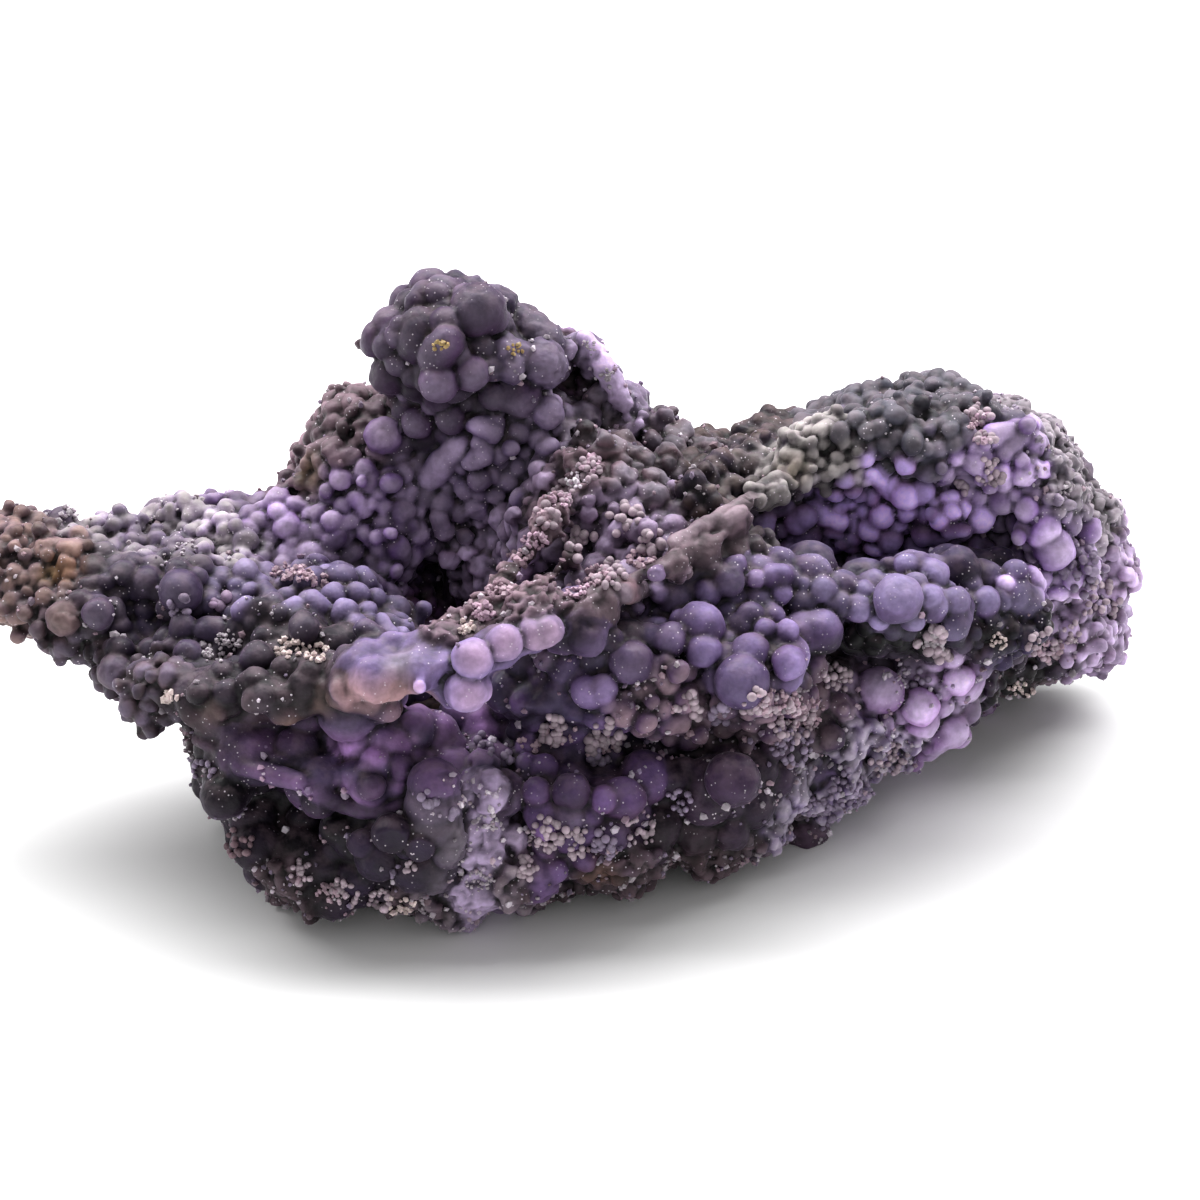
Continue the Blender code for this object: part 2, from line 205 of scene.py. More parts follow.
# Colours of the mineral, in the usual 0 to 255 values of a screen.
COLOURS = {
    "purple": (132, 103, 145),
    "plum": (112, 83, 120),
    "violet": (122, 98, 146),
    "lilac": (156, 138, 184),
    "blue lilac": (168, 154, 196),
    "pink lilac": (166, 142, 170),
    "pink": (196, 166, 184),
    "peach": (196, 150, 159),
    "mauve brown": (130, 106, 114),
    "sandy": (148, 124, 118),
    "dusty pink": (176, 150, 162),
    "grey lilac": (146, 132, 156),
    "grey": (140, 133, 144),
    "green grey": (134, 129, 128),
    "olive": (142, 131, 112),
    "pale grey": (184, 174, 182),
    "cream": (214, 195, 192),
    "white": (232, 221, 232),
    "slate": (104, 90, 122),
    "dark blue": (84, 70, 110),
    "deep purple": (82, 59, 94),
    "deep brown": (70, 47, 51),
    "rust": (150, 105, 70),
    "ochre": (168, 143, 96),
    "black": (24, 18, 27),
    "dim purple": (126, 108, 132),
    "blue grey": (128, 128, 144),
    "pale peach": (232, 184, 188),
    "pale pink": (188, 169, 180),
}

# Areas of the stone. "at" has points of the photo in pixels, "places" points in millimetres for
# what the photo doesn't show. "grapes" has the least and most radius in millimetres, and "cover"
# how much of the area they fill. "pile" is the share that carry one more on top. "tints" are the
# colours in the hollows, on the sides and on top: the hollow colour is darkened further as painted
# shade and the top colour lightened as painted highlight.
# Each area's "tone" sets its brightness. Besides the mineral's own colour it holds painted light and shade:
# "hollow" and "under_ledge" take near-black colours where shade falls, "right_foot" is painted near black, and
# some areas in shade, such as "under_arch", are painted lighter.
ZONES = {
    "peak": {
        "at": ((438, 310), (470, 345), (430, 370), (470, 390), (410, 420), (450, 440), (500, 395)),
        "grapes": (1.5, 3.6), "cover": 1.0, "pile": 0.0,
        "rise": (-0.4, 0.2),
        "tone": 0.43,
        "tints": ("deep purple", "purple", "grey lilac"),
    },
    "peak_right": {
        "at": ((515, 315), (540, 345), (530, 375), (520, 335)),
        "grapes": (1.2, 3.2), "cover": 0.8, "pile": 0.0,
        "rise": (-0.5, 0.0),
        "tone": 0.49, "crystals": 0.3, "rough": 0.5,
        "tints": ("slate", "slate", "grey lilac"),
    },
    "spire": {
        "at": ((585, 345), (605, 380), (625, 410), (600, 365)),
        "grapes": (0.5, 0.9), "cover": 0.3, "pile": 0.0,
        "tone": 2.12, "crystals": 0.4, "rough": 0.6,
        "tints": ("slate", "grey lilac", "grey lilac"),
    },
    # Painted shade: dark colours in the pockets.
    "hollow": {
        "at": ((565, 383), (435, 600), (425, 570), (800, 560)),
        "grapes": (0.8, 1.5), "cover": 0.8, "pile": 0.0,
        "tone": 2.86, "rough": 0.5,
        "tints": ("black", "deep brown", "deep purple"),
    },
    "peak_foot": {
        "at": ((500, 440), (520, 470), (470, 480), (430, 500), (540, 430), (400, 470)),
        "grapes": (0.9, 2.2), "cover": 1.0, "pile": 0.15,
        "tone": 1.69,
        "tints": ("deep purple", "slate", "grey lilac"),
    },
    "shoulder": {
        "at": ((320, 440), (340, 420), (375, 405), (310, 470), (285, 470), (350, 450)),
        "grapes": (0.8, 1.8), "cover": 1.0, "pile": 0.25,
        "tone": 0.68, "crystals": 0.15, "rough": 0.4,
        "tints": ("deep brown", "mauve brown", "dusty pink"),
    },
    "slope": {
        "at": ((260, 520), (310, 545), (360, 520), (400, 540), (340, 490), (390, 500), (230, 510)),
        "grapes": (0.9, 2.2), "cover": 0.85, "pile": 0.15,
        "rise": (-0.4, 0.4),
        "tone": 1.84,
        "tints": ("deep purple", "violet", "grey lilac"),
    },
    "slope_foot": {
        "at": ((300, 590), (350, 605), (390, 620), (240, 600), (270, 575)),
        "grapes": (1.0, 2.2), "cover": 0.7, "pile": 0.05,
        "rise": (-0.5, 0.2),
        "tone": 0.79,
        "tints": ("dark blue", "slate", "blue lilac"),
    },
    "buttress": {
        "at": ((460, 550), (500, 530), (600, 530), (640, 520), (585, 560), (560, 590), (640, 545)),
        "grapes": (0.9, 2.4), "cover": 0.8, "pile": 0.35,
        "rise": (-0.4, 0.4),
        "tone": 1.83, "rough": 0.8,
        "tints": ("deep purple", "dim purple", "grey lilac"),
    },
    "buttress_top": {
        "at": ((610, 440), (650, 470), (670, 440), (640, 490), (590, 420)),
        "grapes": (0.9, 2.4), "cover": 1.0, "pile": 0.3,
        "rise": (-0.4, 0.3),
        "tone": 0.84, "crystals": 0.25, "rough": 0.8,
        "tints": ("deep brown", "mauve brown", "grey"),
    },
    "ribs": {
        "at": ((575, 480), (552, 502), (540, 535), (520, 560), (490, 600), (470, 622), (530, 600)),
        "grapes": (0.4, 0.8), "cover": 0.9, "pile": 0.2,
        "rise": (-0.4, 0.2),
        "tone": 0.70, "crystals": 0.3, "rough": 1.0,
        "tints": ("deep brown", "mauve brown", "dusty pink"),
    },
    "saddle": {
        "at": ((700, 470), (720, 450), (740, 470), (690, 500), (740, 440)),
        "grapes": (0.9, 2.2), "cover": 1.0, "pile": 0.25,
        "rise": (-0.4, 0.4),
        "tone": 0.24, "crystals": 0.15, "rough": 0.3,
        "tints": ("deep purple", "slate", "sandy"),
    },
    "arch": {
        "at": ((760, 500), (785, 475), (815, 445), (770, 470), (840, 450)),
        "grapes": (0.7, 1.2), "cover": 1.0, "pile": 0.1,
        "tone": 2.25,
        "tints": ("slate", "green grey", "green grey"),
    },
    "crest": {
        "at": ((850, 410), (900, 395), (950, 405), (870, 435), (930, 440), (900, 455), (980, 420)),
        "grapes": (0.8, 1.8), "cover": 1.0, "pile": 0.08,
        "rise": (-0.4, 0.2),
        "tone": 0.57, "crystals": 0.05,
        "tints": ("slate", "blue grey", "grey"),
    },
    "hump_face": {
        "at": ((1000, 500), (1040, 520), (1020, 560), (960, 470), (1000, 450), (1050, 560)),
        "grapes": (0.9, 2.4), "cover": 0.8, "pile": 0.2,
        "rise": (-0.3, 0.5),
        "tone": 2.42, "crystals": 0.2,
        "tints": ("deep purple", "violet", "grey lilac"),
    },
    "matrix": {
        "at": ((1070, 455), (1060, 475), (1080, 490), (1050, 440), (1090, 520)),
        "grapes": (0.6, 1.3), "cover": 0.6, "pile": 0.2,
        "tone": 0.98, "crystals": 0.6, "rough": 0.9,
        "tints": ("slate", "grey", "pale grey"),
    },
    # Painted light: made lighter to offset the shade under the arch.
    "under_arch": {
        "at": ((830, 520), (860, 500), (900, 510), (940, 530), (810, 545), (870, 545), (780, 530)),
        "grapes": (1.0, 2.2), "cover": 0.75, "pile": 0.3,
        "tone": 2.83,
        "tints": ("deep purple", "purple", "lilac"),
    },
    "ledge": {
        "at": ((830, 590), (870, 600), (910, 590), (950, 600), (985, 600), (930, 570), (960, 580)),
        "grapes": (1.4, 3.8), "cover": 1.0, "pile": 0.0,
        "rise": (-0.5, 0.1),
        "tone": 0.56,
        "tints": ("dark blue", "violet", "blue lilac"),
    },
    # Painted shade: near black under the ledge.
    "under_ledge": {
        "at": ((830, 630), (870, 640), (910, 640), (820, 640)),
        "grapes": (0.8, 1.8), "cover": 0.7, "pile": 0.0,
        "tone": 0.01,
        "tints": ("black", "dark blue", "slate"),
    },
    "right_end": {
        "at": ((1060, 600), (1090, 580), (1110, 600), (1050, 640), (1080, 640), (1110, 570)),
        "grapes": (0.8, 1.7), "cover": 1.0, "pile": 0.25,
        "tone": 2.48, "crystals": 0.35, "rough": 0.5,
        "tints": ("deep brown", "dim purple", "grey lilac"),
    },
    # Painted shade: near black in the hollow under the right end.
    "right_foot": {
        "at": ((1010, 650), (1000, 680), (1030, 670), (1000, 630)),
        "grapes": (0.7, 1.4), "cover": 0.7, "pile": 0.1,
        "tone": 0.01, "crystals": 0.3,
        "tints": ("deep purple", "slate", "grey lilac"),
    },
    "centre": {
        "at": ((600, 660), (650, 640), (700, 640), (740, 670), (780, 650), (750, 610), (700, 600)),
        "grapes": (1.4, 4.0), "cover": 0.9, "pile": 0.05,
        "rise": (-0.5, 0.2),
        "tone": 0.55,
        "tints": ("deep purple", "violet", "lilac"),
    },
    "centre_foot": {
        "at": ((680, 700), (760, 705), (720, 720), (800, 700), (650, 690)),
        "grapes": (0.8, 2.4), "cover": 1.0, "pile": 0.3,
        "tone": 0.60, "crystals": 0.8,
        "tints": ("deep purple", "purple", "dusty pink"),
    },
    "rim_left": {
        "at": ((180, 700), (240, 690), (300, 665), (340, 650), (270, 640)),
        "grapes": (1.0, 2.2), "cover": 0.5, "pile": 0.0,
        "rise": (-0.6, -0.1),
        "tone": 0.15, "crystals": 0.3,
        "tints": ("slate", "dim purple", "grey lilac"),
    },
    "rim": {
        "at": ((380, 665), (410, 660), (450, 670), (490, 650), (540, 630), (430, 690)),
        "grapes": (1.2, 3.2), "cover": 0.2, "pile": 0.0,
        "rise": (-0.85, -0.5),
        "tone": 1.12,
        "tints": ("violet", "lilac", "pink lilac"),
    },
    "rim_thin": {
        "at": ((600, 600), (640, 580), (670, 562), (700, 545), (725, 528), (745, 510)),
        "grapes": (0.4, 0.8), "cover": 0.35, "pile": 0.0,
        "rise": (-0.5, 0.0),
        "tone": 0.46, "rough": 0.3,
        "tints": ("mauve brown", "dusty pink", "pale pink"),
    },
    "rim_foot": {
        "at": ((200, 722), (260, 718), (330, 710), (390, 712), (440, 705)),
        "grapes": (0.8, 1.8), "cover": 0.35, "pile": 0.0,
        "rise": (-0.8, -0.4),
        "tone": 0.59,
        "tints": ("deep brown", "mauve brown", "sandy"),
    },
    "wing_tip": {
        "at": ((20, 580), (50, 560), (30, 545), (10, 560), (60, 590)),
        "grapes": (0.8, 1.7), "cover": 1.0, "pile": 0.3,
        "tone": 0.97, "crystals": 0.25, "rough": 0.5,
        "tints": ("deep brown", "mauve brown", "sandy"),
    },
    "wing": {
        "at": ((100, 590), (120, 625), (150, 585), (180, 600), (205, 640), (150, 640)),
        "grapes": (1.1, 2.8), "cover": 0.7, "pile": 0.08,
        "rise": (-0.5, 0.2),
        "tone": 0.28, "crystals": 0.2,
        "tints": ("deep purple", "violet", "grey lilac"),
    },
    "wing_top": {
        "at": ((100, 530), (150, 545), (200, 530), (170, 520), (230, 560)),
        "grapes": (0.8, 1.5), "cover": 0.75, "pile": 0.15,
        "tone": 2.00, "crystals": 0.3,
        "tints": ("slate", "grey lilac", "green grey"),
    },
    "wing_foot": {
        "at": ((100, 660), (150, 690), (60, 630), (130, 700)),
        "grapes": (0.8, 1.7), "cover": 1.0, "pile": 0.3,
        "tone": 0.42, "rough": 0.5,
        "tints": ("deep brown", "mauve brown", "grey lilac"),
    },
    "under_rim": {
        "at": ((330, 740), (400, 740), (480, 735), (250, 745), (440, 755)),
        "grapes": (1.6, 4.2), "cover": 0.6, "pile": 0.1,
        "rise": (-0.75, -0.1),
        "tone": 2.11, "crystals": 0.25,
        "tints": ("deep purple", "slate", "purple"),
    },
    "blue_slope": {
        "at": ((540, 700), (580, 720), (620, 745), (520, 740), (560, 690)),
        "grapes": (0.9, 2.0), "cover": 0.4, "pile": 0.1,
        "rise": (-0.8, -0.3),
        "tone": 0.86, "crystals": 0.5,
        "tints": ("dark blue", "slate", "violet"),
    },
    "base_left": {
        "at": ((220, 780), (230, 830), (270, 840), (205, 800), (300, 860)),
        "grapes": (1.6, 4.2), "cover": 0.6, "pile": 0.0,
        "rise": (-0.75, -0.1),
        "tone": 0.11, "crystals": 0.3,
        "tints": ("deep purple", "plum", "purple"),
    },
    "apron": {
        "at": ((240, 755), (290, 765), (350, 775), (410, 775), (330, 760)),
        "grapes": (1.6, 4.2), "cover": 0.35, "pile": 0.0,
        "rise": (-0.75, -0.1),
        "tone": 1.78, "crystals": 0.2,
        "tints": ("deep purple", "slate", "purple"),
    },
    "base": {
        "at": ((330, 825), (390, 835), (430, 855), (360, 870), (300, 820)),
        "grapes": (1.6, 4.2), "cover": 0.6, "pile": 0.0,
        "rise": (-0.75, -0.1),
        "tone": 0.11, "crystals": 0.3,
        "tints": ("deep purple", "plum", "violet"),
    },
    "fracture": {
        "at": ((480, 800), (470, 830), (480, 880), (455, 890), (492, 790), (495, 815), (480, 820), (470, 850), (485, 850), (465, 870), (445, 900), (475, 900), (495, 840)),
        "grapes": (0.5, 0.9), "cover": 0.0, "pile": 0.0,
        "tone": 2.42, "crystals": 0.8, "rough": 0.9,
        "tints": ("slate", "grey lilac", "pale grey"),
    },
    "base_middle": {
        "at": ((530, 800), (580, 800), (560, 850), (620, 820), (660, 790)),
        "grapes": (1.6, 4.2), "cover": 0.6, "pile": 0.0,
        "rise": (-0.75, -0.1),
        "tone": 0.74, "crystals": 0.6,
        "tints": ("deep purple", "plum", "violet"),
    },
    "base_right": {
        "at": ((700, 780), (740, 800), (760, 760), (720, 750), (690, 820)),
        "grapes": (1.6, 4.2), "cover": 0.6, "pile": 0.0,
        "rise": (-0.75, -0.1),
        "tone": 0.15, "crystals": 0.5,
        "tints": ("deep purple", "plum", "purple"),
    },
    "druse": {
        "at": ((800, 790), (850, 770), (900, 750), (830, 815), (870, 740)),
        "grapes": (0.6, 1.2), "cover": 0.6, "pile": 0.2,
        "tone": 2.12, "crystals": 1.0, "rough": 0.8,
        "tints": ("deep purple", "slate", "grey"),
    },
    "lower_right": {
        "at": ((880, 700), (920, 710), (950, 680), (940, 740), (900, 670)),
        "grapes": (1.2, 3.6), "cover": 0.85, "pile": 0.05,
        "rise": (-0.5, 0.1),
        "tone": 1.82, "crystals": 0.5,
        "tints": ("deep purple", "purple", "grey lilac"),
    },
    "foot": {
        "at": ((350, 895), (430, 905), (280, 870), (600, 865), (700, 845), (520, 880)),
        "places": ((-60, -8, 20), (60, 10, 10), (0, -30, 2), (30, -18, 3)),
        "grapes": (0.6, 1.2), "cover": 0.9, "pile": 0.1,
        "tone": 0.26, "crystals": 0.9, "rough": 0.8,
        "tints": ("deep brown", "mauve brown", "dusty pink"),
    },
    "back": {
        "places": (
            (-60, 12, 33), (-40, 28, 30), (-30, 38, 22), (-8, 38, 36), (-14, 26, 58), (10, 36, 30),
            (20, 40, 25), (36, 44, 26), (50, 38, 36), (66, 36, 28), (0, 30, 48), (-75, 8, 33),
        ),
        "grapes": (1.0, 2.8), "cover": 1.0, "pile": 0.15,
        "rise": (-0.5, 0.3),
        "tone": 0.50, "crystals": 0.06,
        "tints": ("deep purple", "purple", "grey lilac"),
    },
    "back_foot": {
        "places": (
            (-40, 30, 8), (-20, 38, 10), (5, 42, 10), (30, 42, 10), (55, 38, 12), (70, 30, 14),
            (-52, 8, 26), (-70, 2, 28),
        ),
        "grapes": (0.8, 1.5), "cover": 1.0, "pile": 0.25,
        "tone": 0.42, "crystals": 0.3, "rough": 0.6,
        "tints": ("deep brown", "mauve brown", "grey lilac"),
    },
}

# Stains, bare places and painted light: X, Y and radius in the photo in pixels, colour and strength.
# The black, dark blue and deep brown ones in hollows, gaps and under overhangs are painted shade,
# and the pink ones on the rim's grapes are partly painted highlight.
STAINS_AND_PAINTED_LIGHT = (
    (65, 571, 20, "rust", 0.8), (50, 578, 12, "ochre", 0.6), (441, 343, 13, "ochre", 0.8),
    (514, 346, 10, "ochre", 0.7), (317, 472, 18, "ochre", 0.5), (300, 500, 12, "rust", 0.35),
    (793, 469, 16, "ochre", 0.35), (360, 698, 20, "pale peach", 0.8), (395, 697, 20, "pale peach", 0.85),
    (425, 693, 14, "pale peach", 0.6), (423, 702, 7, "deep brown", 0.9), (135, 543, 30, "slate", 0.6),
    (175, 548, 26, "slate", 0.6), (155, 535, 10, "pale grey", 0.4), (828, 566, 24, "black", 1.0), (795, 556, 14, "black", 0.8),
    (790, 619, 18, "black", 0.9), (835, 632, 24, "black", 0.9), (440, 590, 26, "black", 0.5),
    (410, 620, 14, "black", 0.4), (270, 800, 26, "black", 0.7), (330, 800, 22, "black", 0.6),
    (512, 790, 12, "black", 0.7), (450, 745, 22, "black", 0.8), (500, 690, 20, "dark blue", 0.5),
    (565, 383, 18, "deep brown", 0.9), (548, 360, 10, "deep brown", 0.5),
    (700, 480, 10, "black", 0.5), (668, 505, 12, "black", 0.6), (400, 662, 16, "pale grey", 0.5),
    (504, 641, 16, "pink", 0.6), (540, 630, 18, "pink", 0.6), (624, 593, 12, "peach", 0.8),
    (820, 590, 20, "blue lilac", 0.4), (900, 600, 30, "blue lilac", 0.4),
    (1000, 660, 26, "dark blue", 0.7), (1030, 640, 20, "dark blue", 0.5),
    (130, 600, 14, "dark blue", 0.5), (145, 625, 16, "dark blue", 0.6),
    (360, 590, 22, "slate", 0.5), (200, 650, 20, "slate", 0.6), (215, 670, 18, "green grey", 0.5),
    (580, 720, 26, "dark blue", 0.6), (930, 740, 20, "slate", 0.4), (600, 870, 20, "rust", 0.3),
    (700, 850, 24, "deep brown", 0.4),
)

# Crusts of small grains: X, Y and radius in the photo in pixels, colour, grains, and their size
# in millimetres.
CRUSTS = (
    (290, 648, 16, "cream", 36, 0.44), (315, 652, 14, "cream", 30, 0.44),
    (171, 697, 9, "cream", 15, 0.56), (979, 415, 9, "pink", 18, 0.50), (982, 438, 9, "pink", 18, 0.50),
    (975, 425, 8, "dusty pink", 12, 0.50), (1066, 489, 9, "pale grey", 10, 0.50),
    (933, 640, 14, "pale grey", 24, 0.50), (800, 715, 26, "dusty pink", 54, 0.44),
    (770, 700, 20, "dusty pink", 36, 0.44), (281, 573, 12, "dusty pink", 24, 0.50),
    (300, 575, 12, "dusty pink", 24, 0.50), (318, 580, 10, "dusty pink", 18, 0.50),
    (575, 480, 12, "white", 27, 0.38), (590, 465, 12, "pink", 27, 0.44),
    (560, 500, 12, "pink", 27, 0.44), (548, 520, 12, "dusty pink", 27, 0.50),
    (535, 540, 12, "pink", 27, 0.44), (520, 558, 12, "dusty pink", 27, 0.50),
    (500, 590, 12, "dusty pink", 24, 0.50), (480, 612, 12, "pink", 24, 0.50),
    (465, 628, 10, "cream", 18, 0.44), (600, 575, 16, "dusty pink", 36, 0.50),
    (575, 590, 12, "pink", 24, 0.44), (640, 560, 14, "dusty pink", 24, 0.50),
    (72, 513, 12, "pale grey", 24, 0.44), (230, 640, 14, "pale grey", 30, 0.38),
    (215, 655, 14, "pale grey", 24, 0.38), (185, 548, 12, "pale grey", 15, 0.31),
    (440, 345, 8, "ochre", 12, 0.38), (515, 350, 8, "ochre", 9, 0.38),
    (480, 880, 16, "pale grey", 30, 0.31), (490, 820, 14, "pale grey", 24, 0.31),
    (400, 905, 14, "cream", 24, 0.44), (330, 893, 12, "dusty pink", 24, 0.44),
    (1050, 650, 14, "dusty pink", 24, 0.50), (1020, 690, 12, "cream", 18, 0.44),
    (1000, 640, 10, "cream", 12, 0.44), (605, 375, 10, "pale grey", 18, 0.31),
    (590, 345, 8, "pale grey", 12, 0.31), (560, 735, 18, "dusty pink", 18, 0.44),
    (600, 745, 18, "dusty pink", 18, 0.44), (530, 745, 12, "dusty pink", 12, 0.44),
)

# Clusters of small round grains: X, Y and radius in the photo in pixels, colour, grains, and their
# size in millimetres.
CLUSTERS = (
    (554, 731, 16, "pale pink", 22, 0.62), (604, 738, 20, "pale pink", 28, 0.62),
    (600, 760, 12, "grey lilac", 10, 0.62), (510, 758, 8, "grey lilac", 6, 0.55),
    (485, 746, 10, "grey lilac", 8, 0.55), (688, 706, 14, "pale pink", 14, 0.60),
    (722, 716, 12, "grey lilac", 10, 0.60), (758, 704, 16, "pale pink", 18, 0.55),
    (795, 722, 24, "pale pink", 44, 0.50), (790, 745, 22, "grey lilac", 36, 0.50),
    (836, 676, 16, "pale pink", 22, 0.50), (915, 676, 14, "grey lilac", 16, 0.50),
    (931, 640, 15, "pale pink", 16, 0.75), (945, 655, 10, "pale pink", 8, 0.70),
    (977, 413, 12, "pale pink", 16, 0.62), (985, 438, 10, "pale pink", 12, 0.62),
    (990, 470, 16, "pale pink", 18, 0.62), (963, 487, 8, "pale pink", 6, 0.60),
    (1085, 572, 22, "grey lilac", 30, 0.62), (1100, 600, 20, "pale pink", 24, 0.60),
    (1045, 648, 18, "pale pink", 24, 0.50), (1068, 632, 12, "pale pink", 14, 0.45),
    (545, 834, 18, "pale pink", 34, 0.50), (575, 842, 16, "pale pink", 26, 0.50),
    (602, 846, 14, "grey lilac", 20, 0.50), (528, 866, 12, "pale pink", 18, 0.50),
    (429, 798, 9, "grey lilac", 8, 0.60), (452, 813, 6, "grey lilac", 5, 0.55),
    (410, 876, 14, "pale pink", 24, 0.50), (345, 892, 14, "pale pink", 22, 0.45),
    (300, 872, 12, "pale pink", 16, 0.45), (380, 902, 14, "pale pink", 24, 0.45),
    (240, 842, 14, "mauve brown", 16, 0.50), (205, 770, 12, "grey lilac", 14, 0.45),
    (640, 830, 16, "pale pink", 24, 0.45), (680, 800, 14, "grey lilac", 18, 0.45),
    (850, 790, 22, "grey lilac", 36, 0.45), (890, 762, 20, "pale pink", 30, 0.45),
    (822, 812, 18, "grey lilac", 26, 0.45), (180, 605, 10, "grey lilac", 8, 0.60),
    (218, 600, 8, "pink lilac", 5, 0.75), (590, 470, 12, "pale pink", 16, 0.50),
    (565, 492, 12, "pale pink", 18, 0.50), (548, 516, 12, "pale pink", 18, 0.55),
    (625, 520, 16, "pale pink", 16, 0.75), (580, 545, 16, "pale pink", 18, 0.70),
    (650, 545, 14, "pale pink", 14, 0.70), (610, 575, 14, "pale pink", 18, 0.60),
)

# Swellings and hollows: X, Y and radius in the photo in pixels, and how far they stand out, in
# millimetres.
SWELLS = (
    (150, 628, 42, -4.0), (125, 600, 24, -2.0), (210, 660, 26, -1.5), (150, 545, 30, -1.5),
    (275, 805, 36, -4.5), (325, 812, 26, -3.0), (232, 800, 22, -2.0), (442, 590, 34, -4.0), (425, 558, 28, -3.0),
   
    (795, 562, 24, -3.5), (835, 568, 22, -3.5), (835, 632, 26, -4.5), (790, 620, 22, -4.5),
    (1000, 655, 34, -4.5), (1015, 610, 20, -2.0), (565, 382, 20, -4.0), (515, 800, 16, -4.0),
    (455, 745, 26, -4.0), (350, 745, 20, -2.0), (668, 505, 14, -2.5), (702, 520, 12, -2.0),
    (500, 470, 16, -2.0), (420, 520, 22, -2.0), (330, 610, 26, -2.0), (955, 555, 14, -2.0),
    (850, 480, 16, -2.0), (915, 470, 14, -2.0), (770, 545, 16, -2.5), (690, 700, 20, -2.0),
    (760, 570, 14, -2.0), (655, 610, 22, -2.5), (570, 700, 24, -2.0), (700, 730, 20, -2.0),
    (640, 760, 26, -1.5), (600, 760, 18, -2.0), (345, 865, 18, -1.5), (460, 880, 12, -1.5),
    (325, 565, 16, 1.5), (300, 575, 14, 1.5), (255, 520, 22, 1.5), (180, 590, 30, 2.0),
    (310, 640, 30, 2.0), (500, 400, 16, -1.0), (440, 440, 14, 1.0), (905, 600, 26, 2.0),
    (742, 682, 26, 1.5), (880, 691, 26, 1.5), (640, 655, 30, 2.0), (740, 770, 26, 1.5),
    (390, 835, 24, 1.5), (575, 795, 26, 2.0), (270, 762, 26, 1.5), (320, 778, 28, 2.0), (375, 790, 26, 2.0),
    (1050, 550, 22, 1.5), (1065, 600, 20, 1.5),
)

# Stalks and long grapes: X and Y of both ends in the photo and radius in pixels, and area.
STALKS = (
    (640, 589, 622, 594, 10, "rim_thin"), (270, 463, 295, 485, 9, "shoulder"),
    (895, 520, 905, 527, 9, "under_arch"), (698, 480, 699, 512, 12, "saddle"),
    (130, 500, 133, 520, 8, "wing_top"), (430, 478, 460, 446, 15, "peak_foot"),
    (286, 553, 330, 560, 11, "slope"), (70, 551, 40, 551, 12, "wing_tip"),
    (655, 560, 742, 512, 8, "rim_thin"), (674, 543, 751, 499, 7, "rim_thin"),
    (735, 450, 745, 470, 8, "saddle"), (848, 612, 862, 604, 10, "ledge"), (808, 508, 840, 522, 11, "under_arch"),
    (870, 472, 892, 492, 10, "under_arch"), (912, 540, 934, 552, 13, "under_arch"),
    (955, 470, 975, 480, 10, "hump_face"), (1000, 470, 1010, 500, 11, "hump_face"),
    (600, 500, 640, 490, 9, "buttress"), (520, 500, 545, 480, 11, "buttress"),
    (198, 738, 240, 765, 7, "base_left"), (240, 765, 300, 782, 9, "base_left"),
    (300, 782, 345, 805, 9, "base_left"), (345, 805, 385, 812, 9, "base_left"),
    (385, 812, 430, 795, 9, "base_left"), (460, 691, 476, 687, 17, "rim"),
    (500, 645, 506, 642, 17, "rim"), (536, 634, 550, 629, 15, "rim"),
    (520, 326, 545, 342, 22, "peak_right"), (505, 352, 530, 362, 16, "peak_right"),
    (586, 336, 604, 364, 8, "spire"), (602, 362, 624, 404, 11, "spire"),
    (281, 575, 300, 571, 8, "rim_thin"), (300, 571, 322, 583, 8, "rim_thin"),
)

